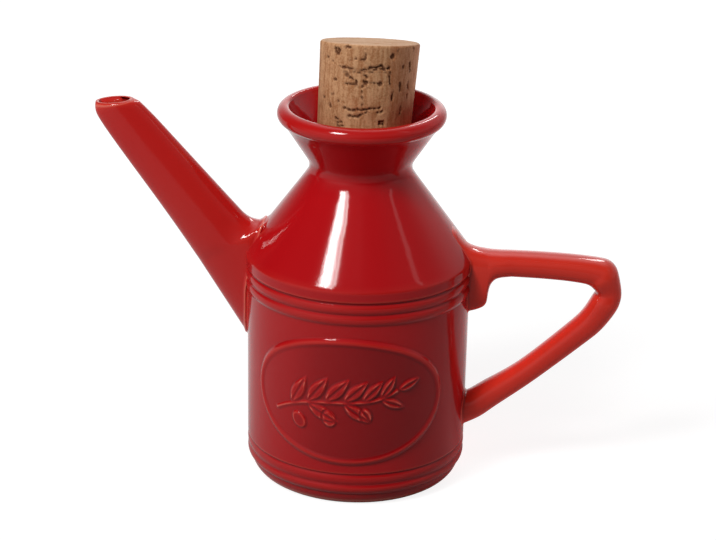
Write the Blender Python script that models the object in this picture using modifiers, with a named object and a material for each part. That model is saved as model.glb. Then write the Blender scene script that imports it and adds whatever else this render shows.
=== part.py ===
"""Olive oil jug: a cast body with a funnel neck, a spout and an angular handle
joined to its wall, and a tapered cork.

Everything is in metres, +Z up. The origin lies on the jug's axis, on the plane
that the jug stands on. The spout points along -X, the handle along +X, and the
oval plaque faces -Y.
"""

import math

import bmesh
import bpy
from mathutils import Euler, Vector

# Fits between the pieces
SEAT_GAP = 0.0003
CORK_GAP = 0.0003
CUT_OVERRUN = 0.0040
MERGE_DISTANCE = 0.00001

# Steps of the turned and lofted shapes
BODY_STEPS = 60
CORK_STEPS = 48
FILLET_STEPS = 4
THROAT_STEPS = 6
RIM_STEPS = 8
RIB_STEPS = 4
SPOUT_SIDES = 24
SPOUT_STATIONS = 6
SPOUT_ROOT_STEPS = 4
HANDLE_SIDES = 20
HANDLE_STEPS = 3
PLAQUE_STEPS = 60
PLAQUE_LINE_STEPS = 2
PLAQUE_FIELD_RINGS = 3
HOLE_SIDES = 32

# Body: cast wall above the plane it stands on
WALL_THICKNESS = 0.0032
WALL_TOP_RADIUS = 0.0402
WALL_FOOT_RADIUS = 0.0399
FLOOR_THICKNESS = 0.0045
INNER_FOOT_FILLET = 0.0070

# Foot: three ribs, the lowest of which curves in over a recessed base
FOOT_HEIGHT = 0.0130
FOOT_STEP = 0.00045
FOOT_TAPER = 0.0043
FOOT_RIB_RISE = 0.0010
BASE_EDGE = 0.0003
FOOT_RING_WIDTH = 0.0068
RECESS_DEPTH = 0.0015
RECESS_SLOPE = 0.0010

# Grooves of the foot from the top down, each with the rib under it: share of the
# foot's height, of its taper and of the rib's rise
foot_shares = (
    (1.00, 0.12, 0.60),
    (0.69, 0.14, 1.00),
    (0.39, 0.35, 0.75),
)

# Shoulder: ribs under the rounded edge of the cone
BAND_BOTTOM = 0.0708
BAND_HEIGHT = 0.0080
BAND_RIBS = 2
BAND_RISE = 0.0008
SHOULDER_EDGE_HEIGHT = 0.0046
SHOULDER_FILLET = 0.0022
SHOULDER_UNDERCUT = 0.0009

# Neck and funnel, with a round bead at the rim
NECK_RADIUS = 0.0172
NECK_HEIGHT = 0.1163
NECK_FILLET = 0.0055
BEAD_RADIUS = 0.0031
BEAD_TURN_RADIUS = 0.02695
BEAD_HEIGHT = 0.1355
BEAD_CREASE_ANGLE = -74.0
BEAD_INNER_ANGLE = 108.0
RIM_EDGE_DROP = 0.0009
RIM_EDGE_INSET = 0.0003

# Plaque: a raised oval field with a higher line round it, laid on the front of the wall
PLAQUE_HALF_WIDTH = 0.0359
PLAQUE_HALF_HEIGHT = 0.0228
PLAQUE_CENTRE_HEIGHT = 0.0414
PLAQUE_TILT = -1.3
PLAQUE_FIELD_RISE = 0.0005
PLAQUE_LINE_RADIUS = 0.0021
PLAQUE_LINE_RISE = 0.0009

# Spout: an oval tube with nearly straight lower and upper edges
SPOUT_REACH = 0.0956
SPOUT_MOUTH_HEIGHT = 0.1368
SPOUT_MOUTH_LENGTH = 0.0136
SPOUT_MOUTH_WIDTH = 0.0094
SPOUT_ROOT_WIDTH = 0.0210
SPOUT_LOW_HEIGHT = 0.0487
SPOUT_HIGH_HEIGHT = 0.0938
SPOUT_LEAN = 52.0
SPOUT_WALL = 0.0030
SPOUT_LIP = 0.0011
SPOUT_UNDER_HOLLOW = 0.0011
SPOUT_TOP_HOLLOW = 0.0002
SPOUT_FILLET_START = 0.0005
SPOUT_FILLET_REACH = 0.0085
SPOUT_FILLET_RISE = 0.0070
POUR_HOLE_RADIUS = 0.0080
POUR_HOLE_HEIGHT = 0.0690

# Places of the spout's outer edges near its mouth: how far the lower edge lies in
# from the reach and down, then the upper edge out from the mouth and down, all as
# shares of the mouth's length
tip_shares = (
    (0.24, 0.78, 0.60, 0.48),
    (0.05, 0.46, 0.30, 0.18),
    (0.00, 0.25, 0.16, 0.06),
    (0.02, 0.10, 0.00, 0.00),
)

# Handle: a round strap with an arm, a tight corner and a slanting leg
HANDLE_REACH = 0.0958
HANDLE_ARM_HEIGHT = 0.08155
HANDLE_LEG_HEIGHT = 0.0247
HANDLE_THICKNESS = 0.0096
HANDLE_WIDTH = 0.0114
HANDLE_SQUARENESS = 2.3
BRACKET_REACH = 0.0138
BRACKET_DROP = 0.0135
BRACKET_FLARE = 0.0012
BRACKET_SQUARENESS = 3.6

# Bracket under the arm's root, from the wall outwards: share of its reach, of its
# drop and of the flare on top
bracket_shares = (
    (-0.60, 1.03, 5.60),
    (-0.42, 1.03, 5.60),
    (-0.30, 1.03, 3.90),
    (-0.19, 1.02, 2.50),
    (-0.08, 1.01, 1.45),
    (0.05, 0.99, 0.80),
    (0.21, 0.94, 0.35),
    (0.385, 0.85, 0.08),
    (0.47, 0.72, 0.00),
    (0.505, 0.47, 0.00),
    (0.54, 0.28, 0.00),
    (0.60, 0.15, 0.00),
    (0.70, 0.05, 0.00),
    (0.85, 0.00, 0.00),
)

# Centre line of the handle past the bracket: share of the way from the wall to its
# outermost centre, share of the way from the leg's foot up to the arm, and share of
# its thickness
handle_shares = (
    (0.30, 1.005, 0.96),
    (0.52, 1.004, 0.97),
    (0.74, 0.996, 0.99),
    (0.915, 0.977, 1.05),
    (0.95, 0.949, 1.16),
    (1.00, 0.851, 0.89),
    (0.977, 0.787, 1.06),
    (0.892, 0.659, 1.01),
    (0.773, 0.548, 0.96),
    (0.433, 0.273, 0.91),
    (0.177, 0.102, 1.02),
    (0.070, 0.030, 1.08),
    (0.000, 0.000, 1.15),
    (-0.110, -0.040, 1.22),
)

# Cork: a tapered stopper that leans a little in the throat, its top cut at a slant
CORK_TOP_RADIUS = 0.0175
CORK_TOP_HEIGHT = 0.1615
CORK_TAPER = 0.0011
CORK_GRIP_HEIGHT = 0.0025
CORK_SWELL_HEIGHT = 0.0070
CORK_TAIL_LENGTH = 0.0110
CORK_TAIL_TAPER = 0.0004
CORK_EDGE = 0.0006
CORK_LEAN_SIDE = 2.9
CORK_LEAN_BACK = 2.5
CORK_SLANT_SIDE = 2.9
CORK_SLANT_BACK = 9.5

# Colours and finishes
GLAZE_COLOUR = (0.30, 0.006, 0.010, 1.0)
GLAZE_ROUGHNESS = 0.10
CORK_COLOUR = (0.50, 0.25, 0.12, 1.0)
CORK_ROUGHNESS = 0.85
SMOOTH_ANGLE = 35.0


def clear_scene():
    for thing in list(bpy.data.objects):
        bpy.data.objects.remove(thing, do_unlink=True)


def new_collection(name):
    group = bpy.data.collections.new(name)
    bpy.context.scene.collection.children.link(group)
    return group


def make_material(name, colour, roughness):
    material = bpy.data.materials.new(name)
    material.use_nodes = True
    shader = material.node_tree.nodes["Principled BSDF"]
    shader.inputs["Base Color"].default_value = colour
    shader.inputs["Roughness"].default_value = roughness
    shader.inputs["Metallic"].default_value = 0.0
    return material


def add_object(name, mesh, group, material=None):
    piece = bpy.data.objects.new(name, mesh)
    group.objects.link(piece)
    if material:
        mesh.materials.append(material)
    return piece


def mark_cutter(piece):
    piece.hide_render = True
    piece.display_type = 'WIRE'
    return piece


def boolean(piece, other, operation):
    modifier = piece.modifiers.new(other.name, 'BOOLEAN')
    modifier.operation = operation
    modifier.solver = 'EXACT'
    modifier.object = other


def arc_points(centre, radius, start, end, steps):
    """Points of an arc, angles in degrees."""
    points = []
    for step in range(steps + 1):
        angle = math.radians(start + (end - start) * step / steps)
        points.append((centre[0] + radius * math.cos(angle),
                       centre[1] + radius * math.sin(angle)))
    return points


def fillet_points(before, corner, after, radius, steps=FILLET_STEPS):
    """Points of the rounded corner between two straight lines."""
    corner = Vector(corner)
    back = (Vector(before) - corner).normalized()
    ahead = (Vector(after) - corner).normalized()
    half = back.angle(ahead) / 2
    centre = corner + (back + ahead).normalized() * (radius / math.sin(half))
    start = corner + back * (radius / math.tan(half)) - centre
    turn = math.pi - 2 * half
    if back.x * ahead.y > back.y * ahead.x:
        turn = -turn
    points = []
    for step in range(steps + 1):
        angle = turn * step / steps
        points.append((centre.x + start.x * math.cos(angle) - start.y * math.sin(angle),
                       centre.y + start.x * math.sin(angle) + start.y * math.cos(angle)))
    return points


def ribs(top, bottom, rise, count=1):
    """Round ribs down a profile, from its top point to just before its bottom point."""
    top = Vector(top)
    line = Vector(bottom) - top
    outward = Vector((-line.y, line.x)).normalized()
    points = []
    for step in range(count * RIB_STEPS):
        share = step / (count * RIB_STEPS)
        bulge = rise * math.sqrt(abs(math.sin(math.pi * share * count)))
        points.append(tuple(top + line * share + outward * bulge))
    return points


def bead_point(angle):
    return arc_points((BEAD_TURN_RADIUS, BEAD_HEIGHT), BEAD_RADIUS, angle, angle, 1)[0]


def wall_radius(height):
    """Outer radius of the plain wall, which tapers a little towards the foot."""
    share = (height - FOOT_HEIGHT) / (BAND_BOTTOM - FOOT_HEIGHT)
    return WALL_FOOT_RADIUS + (WALL_TOP_RADIUS - WALL_FOOT_RADIUS) * share


def band_top():
    return (WALL_TOP_RADIUS, BAND_BOTTOM + BAND_HEIGHT)


def shoulder_corner():
    """Where the cone would meet the upright edge above the ribs."""
    return (WALL_TOP_RADIUS + BAND_RISE, band_top()[1] + SHOULDER_EDGE_HEIGHT)


def base_radius():
    return WALL_FOOT_RADIUS - FOOT_TAPER


def outside_points():
    """Outer profile from the neck's fillet down to the edge of the base."""
    neck = (NECK_RADIUS, NECK_HEIGHT)
    shoulder = shoulder_corner()
    under = (shoulder[0], band_top()[1] + SHOULDER_UNDERCUT)
    grooves = [(WALL_FOOT_RADIUS - FOOT_TAPER * inset, FOOT_HEIGHT * up)
               for up, inset, rise in foot_shares]
    grooves.append((base_radius(), BASE_EDGE))
    points = fillet_points(bead_point(BEAD_CREASE_ANGLE), neck, shoulder, NECK_FILLET)
    points += fillet_points(neck, shoulder, under, SHOULDER_FILLET)
    points.append(under)
    points += ribs(band_top(), (WALL_TOP_RADIUS, BAND_BOTTOM), BAND_RISE, BAND_RIBS)
    points.append((WALL_TOP_RADIUS, BAND_BOTTOM))
    points.append((WALL_FOOT_RADIUS, FOOT_HEIGHT + FOOT_STEP))
    for top, bottom, shares in zip(grooves, grooves[1:], foot_shares):
        points += ribs(top, bottom, FOOT_RIB_RISE * shares[2])
    points.append(grooves[-1])
    return points


def inner_neck_corner():
    """The neck's corner moved in by the wall, where cone and funnel meet inside."""
    corner = Vector((NECK_RADIUS, NECK_HEIGHT))
    up = (Vector(bead_point(BEAD_CREASE_ANGLE)) - corner).normalized()
    down = (Vector(shoulder_corner()) - corner).normalized()
    return tuple(corner - (up + down).normalized() * (WALL_THICKNESS / math.sin(up.angle(down) / 2)))


def inner_shoulder_corner():
    """Where the inner cone, parallel to the outer one, meets the inner wall."""
    neck = Vector(inner_neck_corner())
    cone = Vector(shoulder_corner()) - Vector((NECK_RADIUS, NECK_HEIGHT))
    radius = WALL_TOP_RADIUS - WALL_THICKNESS
    return (radius, neck.y + cone.y * (radius - neck.x) / cone.x)


def rim_edge():
    """Foot of the bead's inner side, where the funnel begins."""
    inner = bead_point(BEAD_INNER_ANGLE)
    return (inner[0] - RIM_EDGE_INSET, inner[1] - RIM_EDGE_DROP)


def throat_points():
    """Rounded throat, from the inner cone up into the funnel."""
    return fillet_points(inner_shoulder_corner(), inner_neck_corner(), rim_edge(),
                         NECK_FILLET + WALL_THICKNESS, THROAT_STEPS)


def throat():
    """Radius and height of the narrowest ring inside the neck."""
    return min(throat_points())


def body_profile():
    """Section of the body: up the inside, over the rim, down the outside, and in below."""
    inner_foot = (WALL_FOOT_RADIUS - WALL_THICKNESS, FLOOR_THICKNESS)
    shoulder = inner_shoulder_corner()
    ring_inside = base_radius() - FOOT_RING_WIDTH
    points = [(0.0, FLOOR_THICKNESS)]
    points += fillet_points(points[0], inner_foot, shoulder, INNER_FOOT_FILLET)
    points += fillet_points(inner_foot, shoulder, inner_neck_corner(),
                            SHOULDER_FILLET + WALL_THICKNESS)
    points += throat_points()
    points.append(rim_edge())
    points += arc_points((BEAD_TURN_RADIUS, BEAD_HEIGHT), BEAD_RADIUS,
                         BEAD_INNER_ANGLE, BEAD_CREASE_ANGLE, RIM_STEPS)
    points += outside_points()
    points.append((base_radius() - BASE_EDGE, 0.0))
    points.append((ring_inside, 0.0))
    points.append((ring_inside - RECESS_SLOPE, RECESS_DEPTH))
    points.append((0.0, RECESS_DEPTH))
    return points


def envelope_profile():
    """The body's outside, filled and grown by the seat gap, below the neck."""
    points = [(radius + SEAT_GAP, height) for radius, height in outside_points()]
    return [(0.0, points[0][1])] + points + [(0.0, points[-1][1])]


def turned(name, profile, steps, group, material=None):
    """A solid of revolution about the object's own Z axis."""
    mesh = bpy.data.meshes.new(name)
    vertices = [(radius, 0.0, height) for radius, height in profile]
    edges = [(index, index + 1) for index in range(len(vertices) - 1)]
    mesh.from_pydata(vertices, edges, [])
    piece = add_object(name, mesh, group, material)
    screw = piece.modifiers.new("turn", 'SCREW')
    screw.axis = 'Z'
    screw.steps = steps
    screw.render_steps = steps
    screw.use_merge_vertices = True
    screw.merge_threshold = MERGE_DISTANCE
    screw.use_smooth_shade = True
    return piece


def oval_ring(low, high, half_width, squareness, sides):
    """An oval whose long axis joins two XZ points and whose short axis is Y."""
    middle = (low + high) / 2
    reach = (high - low) / 2
    ring = []
    for side in range(sides):
        angle = 2 * math.pi * side / sides
        along = math.copysign(abs(math.cos(angle)) ** (2 / squareness), math.cos(angle))
        across = math.copysign(abs(math.sin(angle)) ** (2 / squareness), math.sin(angle))
        point = middle + reach * along
        ring.append((point.x, half_width * across, point.y))
    return ring


def loft(name, rings, group, material, is_tube):
    """A skin through rings, closed by end caps, or by joining the last ring to the first."""
    shape = bmesh.new()
    rows = [[shape.verts.new(point) for point in ring] for ring in rings]
    pairs = list(zip(rows, rows[1:]))
    if is_tube:
        pairs.append((rows[-1], rows[0]))
    else:
        shape.faces.new(rows[0])
        shape.faces.new(rows[-1])
    for near, far in pairs:
        for side in range(len(near)):
            other = (side + 1) % len(near)
            shape.faces.new((near[side], near[other], far[other], far[side]))
    bmesh.ops.recalc_face_normals(shape, faces=shape.faces)
    mesh = bpy.data.meshes.new(name)
    shape.to_mesh(mesh)
    shape.free()
    mesh.shade_smooth()
    mesh.set_sharp_from_angle(angle=math.radians(SMOOTH_ANGLE))
    return add_object(name, mesh, group, material)


def plaque_point(turn, share, rise):
    """A point over the wall, at a share of the way from the oval's middle to its line."""
    across = PLAQUE_HALF_WIDTH * math.cos(turn) * share
    up = PLAQUE_HALF_HEIGHT * math.sin(turn) * share
    tilt = math.radians(PLAQUE_TILT)
    height = PLAQUE_CENTRE_HEIGHT + across * math.sin(tilt) + up * math.cos(tilt)
    radius = wall_radius(height)
    angle = (across * math.cos(tilt) - up * math.sin(tilt)) / radius
    return ((radius + rise) * math.sin(angle), -(radius + rise) * math.cos(angle), height)


def make_plaque_field(group):
    """The plaque's field: a plate bent round the wall, sunk in it but for its rise."""
    shape = bmesh.new()
    sides = []
    for rise in (PLAQUE_FIELD_RISE, -WALL_THICKNESS / 2):
        rows = []
        for ring in range(PLAQUE_FIELD_RINGS, 0, -1):
            share = ring / PLAQUE_FIELD_RINGS
            rows.append([shape.verts.new(plaque_point(2 * math.pi * index / PLAQUE_STEPS, share, rise))
                         for index in range(PLAQUE_STEPS)])
        middle = shape.verts.new(plaque_point(0.0, 0.0, rise))
        sides.append((rows, middle))
    for rows, middle in sides:
        for near, far in zip(rows, rows[1:]):
            for index in range(PLAQUE_STEPS):
                other = (index + 1) % PLAQUE_STEPS
                shape.faces.new((near[index], near[other], far[other], far[index]))
        for index in range(PLAQUE_STEPS):
            shape.faces.new((rows[-1][index], rows[-1][(index + 1) % PLAQUE_STEPS], middle))
    front, back = sides[0][0][0], sides[1][0][0]
    for index in range(PLAQUE_STEPS):
        other = (index + 1) % PLAQUE_STEPS
        shape.faces.new((front[index], front[other], back[other], back[index]))
    bmesh.ops.recalc_face_normals(shape, faces=shape.faces)
    mesh = bpy.data.meshes.new("plaque_field")
    shape.to_mesh(mesh)
    shape.free()
    return mark_cutter(add_object("plaque_field", mesh, group))


def make_plaque_line(group):
    """The plaque's raised line: a tube wrapped on the wall, sunk but for its rise."""
    curve = bpy.data.curves.new("plaque_line", 'CURVE')
    curve.dimensions = '3D'
    curve.bevel_depth = PLAQUE_LINE_RADIUS
    curve.bevel_resolution = PLAQUE_LINE_STEPS
    spline = curve.splines.new('POLY')
    spline.points.add(PLAQUE_STEPS - 1)
    spline.use_cyclic_u = True
    for index, point in enumerate(spline.points):
        turn = 2 * math.pi * (index + 1 / 2) / PLAQUE_STEPS
        place = plaque_point(turn, 1.0, PLAQUE_LINE_RISE - PLAQUE_LINE_RADIUS)
        point.co = (*place, 1.0)
    line = bpy.data.objects.new("plaque_line", curve)
    group.objects.link(line)
    bpy.context.view_layer.update()
    evaluated = line.evaluated_get(bpy.context.evaluated_depsgraph_get())
    mesh = bpy.data.meshes.new_from_object(evaluated)
    shape = bmesh.new()
    shape.from_mesh(mesh)
    bmesh.ops.remove_doubles(shape, verts=shape.verts, dist=MERGE_DISTANCE)
    bmesh.ops.recalc_face_normals(shape, faces=shape.faces)
    shape.to_mesh(mesh)
    shape.free()
    tube = add_object("plaque_tube", mesh, group)
    tube.matrix_world = line.matrix_world
    bpy.data.objects.remove(line, do_unlink=True)
    return mark_cutter(tube)


def make_pour_hole(group):
    """Cutter for the round hole through the wall behind the spout's root."""
    shape = bmesh.new()
    depth = WALL_THICKNESS + BAND_RISE + 2 * CUT_OVERRUN
    bmesh.ops.create_cone(shape, cap_ends=True, segments=HOLE_SIDES,
                          radius1=POUR_HOLE_RADIUS, radius2=POUR_HOLE_RADIUS, depth=depth)
    mesh = bpy.data.meshes.new("pour_hole")
    shape.to_mesh(mesh)
    shape.free()
    hole = add_object("pour_hole", mesh, group)
    hole.location = (-(WALL_TOP_RADIUS - WALL_THICKNESS / 2), 0.0, POUR_HOLE_HEIGHT)
    hole.rotation_euler = Euler((0.0, math.radians(90), 0.0))
    return mark_cutter(hole)


def make_body(group, cutters, material):
    body = turned("jug_body", body_profile(), BODY_STEPS, group, material)
    boolean(body, make_plaque_field(cutters), 'UNION')
    boolean(body, make_plaque_line(cutters), 'UNION')
    boolean(body, make_pour_hole(cutters), 'DIFFERENCE')


def tip_sections():
    """Lower and upper edge points of the sections that round off the spout's mouth."""
    length = SPOUT_MOUTH_LENGTH
    low = Vector((-SPOUT_REACH, SPOUT_MOUTH_HEIGHT))
    high = Vector((-SPOUT_REACH + length, SPOUT_MOUTH_HEIGHT))
    pairs = []
    for low_in, low_down, high_out, high_down in tip_shares:
        pairs.append((low + Vector((length * low_in, -length * low_down)),
                      high + Vector((length * high_out, -length * high_down))))
    return pairs


def spout_starts(low_end, high_end):
    """Lower and upper edge points of the first section, which lies inside the wall."""
    low_root = Vector((-WALL_TOP_RADIUS, SPOUT_LOW_HEIGHT))
    high_root = Vector((-WALL_TOP_RADIUS, SPOUT_HIGH_HEIGHT))
    climb = high_root - high_end
    low = low_root - (low_end - low_root).normalized() * (WALL_THICKNESS + CUT_OVERRUN)
    square = Vector((math.sin(math.radians(SPOUT_LEAN)), math.cos(math.radians(SPOUT_LEAN))))
    offset = low - high_root
    share = (offset.x * square.y - offset.y * square.x) / (climb.x * square.y - climb.y * square.x)
    return low, high_root + climb * share


def cone_crossing(start, end):
    """Share of the way from start to end at which a line leaves the body's cone."""
    neck = Vector((-NECK_RADIUS, NECK_HEIGHT))
    cone = Vector((-shoulder_corner()[0], shoulder_corner()[1])) - neck
    line = end - start
    offset = neck - start
    return (offset.x * cone.y - offset.y * cone.x) / (line.x * cone.y - line.y * cone.x)


def spout_sections():
    """Lower and upper edge points of all outer sections, from inside the wall to the mouth.

    Both edges are a little hollow, and the upper one rises on to the cone in a fillet.
    """
    tip = tip_sections()
    low_end, high_end = tip[0]
    low, high = spout_starts(low_end, high_end)
    climb = high_end - high
    above = Vector((-climb.y, climb.x)).normalized()
    if above.y < 0:
        above = -above
    crossing = cone_crossing(high, high_end)
    near = crossing + SPOUT_FILLET_START / climb.length
    root = SPOUT_FILLET_REACH / climb.length
    ways = [0.0] + [near + root * step / SPOUT_ROOT_STEPS for step in range(SPOUT_ROOT_STEPS + 1)]
    rest = (1 - ways[-1]) / SPOUT_STATIONS
    ways += [ways[-1] + rest * step for step in range(1, SPOUT_STATIONS)]
    pairs = []
    for way in ways:
        bow = (4 * way * (1 - way)) ** 2
        short = max(0.0, 1 - (way - near) / root) if way > 0 else 0.0
        rise = SPOUT_FILLET_RISE * (1 - math.sqrt(max(0.0, 1 - short ** 2)))
        pairs.append((low.lerp(low_end, way) + above * (SPOUT_UNDER_HOLLOW * bow),
                      high.lerp(high_end, way) + above * (rise - SPOUT_TOP_HOLLOW * bow)))
    return pairs + tip


def make_spout(group, envelope, material):
    pairs = spout_sections()
    outer = []
    inner = []
    start = pairs[0][0]
    reach = (pairs[-1][0] - start).length
    for low, high in pairs:
        share = (low - start).length / reach
        half_width = (SPOUT_ROOT_WIDTH + (SPOUT_MOUTH_WIDTH - SPOUT_ROOT_WIDTH) * share) / 2
        wall = SPOUT_WALL + (SPOUT_LIP - SPOUT_WALL) * share
        inward = (high - low).normalized() * wall
        outer.append(oval_ring(low, high, half_width, 2, SPOUT_SIDES))
        inner.append(oval_ring(low + inward, high - inward, half_width - wall, 2, SPOUT_SIDES))
    spout = loft("spout", outer + inner[::-1], group, material, True)
    boolean(spout, envelope, 'DIFFERENCE')


def smooth_path(points):
    """Points of a smooth line through the given ones, all their numbers alike."""
    ends = [points[0]] + list(points) + [points[-1]]
    path = []
    for index in range(len(points) - 1):
        before, near, far, after = ends[index:index + 4]
        for step in range(HANDLE_STEPS):
            t = step / HANDLE_STEPS
            path.append(tuple(
                (2 * b + (c - a) * t + (2 * a - 5 * b + 4 * c - d) * t ** 2
                 + (3 * b - a - 3 * c + d) * t ** 3) / 2
                for a, b, c, d in zip(before, near, far, after)))
    path.append(tuple(points[-1]))
    return path


def bracket_rings():
    """Upright sections of the arm's root, whose under side drops in a bracket to the wall."""
    rings = []
    top = HANDLE_ARM_HEIGHT + HANDLE_THICKNESS / 2
    bottom = HANDLE_ARM_HEIGHT - HANDLE_THICKNESS / 2
    for out, drop, flare in bracket_shares:
        reach = WALL_TOP_RADIUS + BRACKET_REACH * out
        low = Vector((reach, bottom - BRACKET_DROP * drop))
        high = Vector((reach, top + BRACKET_FLARE * flare))
        squareness = HANDLE_SQUARENESS + (BRACKET_SQUARENESS - HANDLE_SQUARENESS) * drop
        rings.append(oval_ring(low, high, HANDLE_WIDTH / 2, squareness, HANDLE_SIDES))
    return rings


def strap_rings():
    """Sections square to the centre line, from the arm round the corner to the leg's foot."""
    outermost = HANDLE_REACH - HANDLE_THICKNESS / 2
    points = []
    for out, up, thick in handle_shares:
        points.append((WALL_TOP_RADIUS + (outermost - WALL_TOP_RADIUS) * out,
                       HANDLE_LEG_HEIGHT + (HANDLE_ARM_HEIGHT - HANDLE_LEG_HEIGHT) * up,
                       HANDLE_THICKNESS * thick))
    path = smooth_path(points)
    rings = []
    for index, (x, z, thick) in enumerate(path):
        near = path[max(index - 1, 0)]
        far = path[min(index + 1, len(path) - 1)]
        outward = Vector((near[1] - far[1], far[0] - near[0])).normalized() * (thick / 2)
        half_width = HANDLE_WIDTH / HANDLE_THICKNESS * thick / 2
        rings.append(oval_ring(Vector((x, z)) - outward, Vector((x, z)) + outward, half_width,
                               HANDLE_SQUARENESS, HANDLE_SIDES))
    return rings


def make_handle(group, envelope, material):
    handle = loft("handle", bracket_rings() + strap_rings(), group, material, False)
    boolean(handle, envelope, 'DIFFERENCE')


def make_cork(group, material):
    radius, height = throat()
    grip = radius - CORK_GAP
    top = CORK_TOP_HEIGHT - height
    swell = CORK_GRIP_HEIGHT + CORK_SWELL_HEIGHT
    profile = [
        (CORK_TOP_RADIUS - CORK_EDGE, top),
        (CORK_TOP_RADIUS, top - CORK_EDGE),
        (CORK_TOP_RADIUS - CORK_TAPER, swell),
        (grip, CORK_GRIP_HEIGHT),
        (grip, -CORK_GRIP_HEIGHT),
        (grip - CORK_TAIL_TAPER, CORK_EDGE - CORK_TAIL_LENGTH),
        (grip - CORK_TAIL_TAPER - CORK_EDGE, -CORK_TAIL_LENGTH),
    ]
    rings = []
    for ring_radius, ring_height in profile:
        share = max(0.0, ring_height - swell) / (top - swell)
        ring = []
        for side in range(CORK_STEPS):
            angle = 2 * math.pi * side / CORK_STEPS
            across = ring_radius * math.cos(angle)
            depth = ring_radius * math.sin(angle)
            cut = across * math.tan(math.radians(CORK_SLANT_SIDE)) - depth * math.tan(
                math.radians(CORK_SLANT_BACK))
            ring.append((across, depth, ring_height + cut * share))
        rings.append(ring)
    cork = loft("cork", rings, group, material, False)
    cork.location = (0.0, 0.0, height)
    cork.rotation_euler = Euler((-math.radians(CORK_LEAN_BACK), math.radians(CORK_LEAN_SIDE), 0.0))


def main():
    clear_scene()
    jug = new_collection("olive_oil_jug")
    cutters = new_collection("cutters")
    glaze = make_material("red_glaze", GLAZE_COLOUR, GLAZE_ROUGHNESS)
    spout_glaze = make_material("spout_glaze", GLAZE_COLOUR, GLAZE_ROUGHNESS)
    handle_glaze = make_material("handle_glaze", GLAZE_COLOUR, GLAZE_ROUGHNESS)
    bark = make_material("cork_bark", CORK_COLOUR, CORK_ROUGHNESS)
    envelope = mark_cutter(turned("body_envelope", envelope_profile(), BODY_STEPS, cutters))
    make_body(jug, cutters, glaze)
    make_spout(jug, envelope, spout_glaze)
    make_handle(jug, envelope, handle_glaze)
    make_cork(jug, bark)


main()
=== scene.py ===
"""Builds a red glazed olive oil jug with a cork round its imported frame.

The body, spout and handle are modelled as thick, glaze-softened shells, and the
cork as natural bark with pores. Sizes are in metres, +Z is up, the spout points
along -X, the handle along +X and the raised oval faces -Y.
"""

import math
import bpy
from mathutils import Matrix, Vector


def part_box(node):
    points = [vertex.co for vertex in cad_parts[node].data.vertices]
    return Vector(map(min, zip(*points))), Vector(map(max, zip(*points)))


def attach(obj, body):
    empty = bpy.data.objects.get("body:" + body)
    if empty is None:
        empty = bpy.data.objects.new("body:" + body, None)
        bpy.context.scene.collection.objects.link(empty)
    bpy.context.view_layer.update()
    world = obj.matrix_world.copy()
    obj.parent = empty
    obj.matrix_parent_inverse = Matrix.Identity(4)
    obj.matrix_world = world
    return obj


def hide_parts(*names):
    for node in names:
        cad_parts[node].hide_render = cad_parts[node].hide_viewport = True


bl_info = {
    "name": "Olive Oil Jug",
    "version": (1, 0, 0),
    "blender": (4, 5, 0),
    "location": "View3D > Sidebar > Oil Jug",
    "description": "Adds a glazed earthenware oil jug with its cork, and a studio for it",
    "category": "Add Mesh",
}

import bpy
import numpy as np
from bpy.props import FloatProperty, FloatVectorProperty, IntProperty, PointerProperty
from mathutils import Euler, Matrix, Vector

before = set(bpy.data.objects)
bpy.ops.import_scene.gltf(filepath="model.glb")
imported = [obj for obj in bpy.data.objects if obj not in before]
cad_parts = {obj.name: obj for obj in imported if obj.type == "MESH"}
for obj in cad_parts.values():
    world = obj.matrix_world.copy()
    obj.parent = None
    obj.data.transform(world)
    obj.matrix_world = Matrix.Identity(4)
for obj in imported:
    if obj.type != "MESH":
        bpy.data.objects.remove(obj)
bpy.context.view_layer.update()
BODY_LOW, BODY_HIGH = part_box("jug_body")
SPOUT_LOW, SPOUT_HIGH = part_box("spout")
HANDLE_LOW, HANDLE_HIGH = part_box("handle")

MM = 0.001

# Wall and foot
WALL_FOOT_RADIUS = 0.0399
FOOT_HEIGHT = 0.0130
FOOT_STEP = 0.00045
FOOT_TAPER = 0.0043
BASE_EDGE = 0.0003
FOOT_RING_WIDTH = 0.0068
RECESS_DEPTH = 0.0015
RECESS_SLOPE = 0.0010
FLOOR_THICKNESS = 0.0045
INNER_FOOT_FILLET = 0.0070

# Grooves of the foot from the top down: share of its height, share of its taper and
# the share of the rise that the rib under the groove has
FOOT_SHARES = (
    (1.00, 0.12, 0.60),
    (0.69, 0.14, 1.00),
    (0.39, 0.35, 0.75),
)

# Shoulder ribs and the rounded edge of the cone
BAND_BOTTOM = 0.0708
BAND_HEIGHT = 0.0080
BAND_RISE = 0.0008
SHOULDER_EDGE_HEIGHT = 0.0046
SHOULDER_FILLET = 0.0022
SHOULDER_UNDERCUT = 0.0009

# Neck, funnel and rim bead
NECK_RADIUS = 0.0172
NECK_HEIGHT = 0.1163
NECK_FILLET = 0.0055
BEAD_RADIUS = 0.0031
BEAD_TURN_RADIUS = 0.02695
BEAD_CREASE_ANGLE = -74.0
BEAD_INNER_ANGLE = 108.0
RIM_EDGE_DROP = 0.0009
RIM_EDGE_INSET = 0.0003

# Sizes that follow from the others
BASE_RADIUS = WALL_FOOT_RADIUS - FOOT_TAPER
WALL_TOP_RADIUS = BODY_HIGH[0] - BAND_RISE
SHOULDER_CORNER = (WALL_TOP_RADIUS + BAND_RISE, BAND_BOTTOM + BAND_HEIGHT + SHOULDER_EDGE_HEIGHT)
BEAD_CENTRE = (BEAD_TURN_RADIUS, BODY_HIGH[2] - BEAD_RADIUS)

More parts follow.
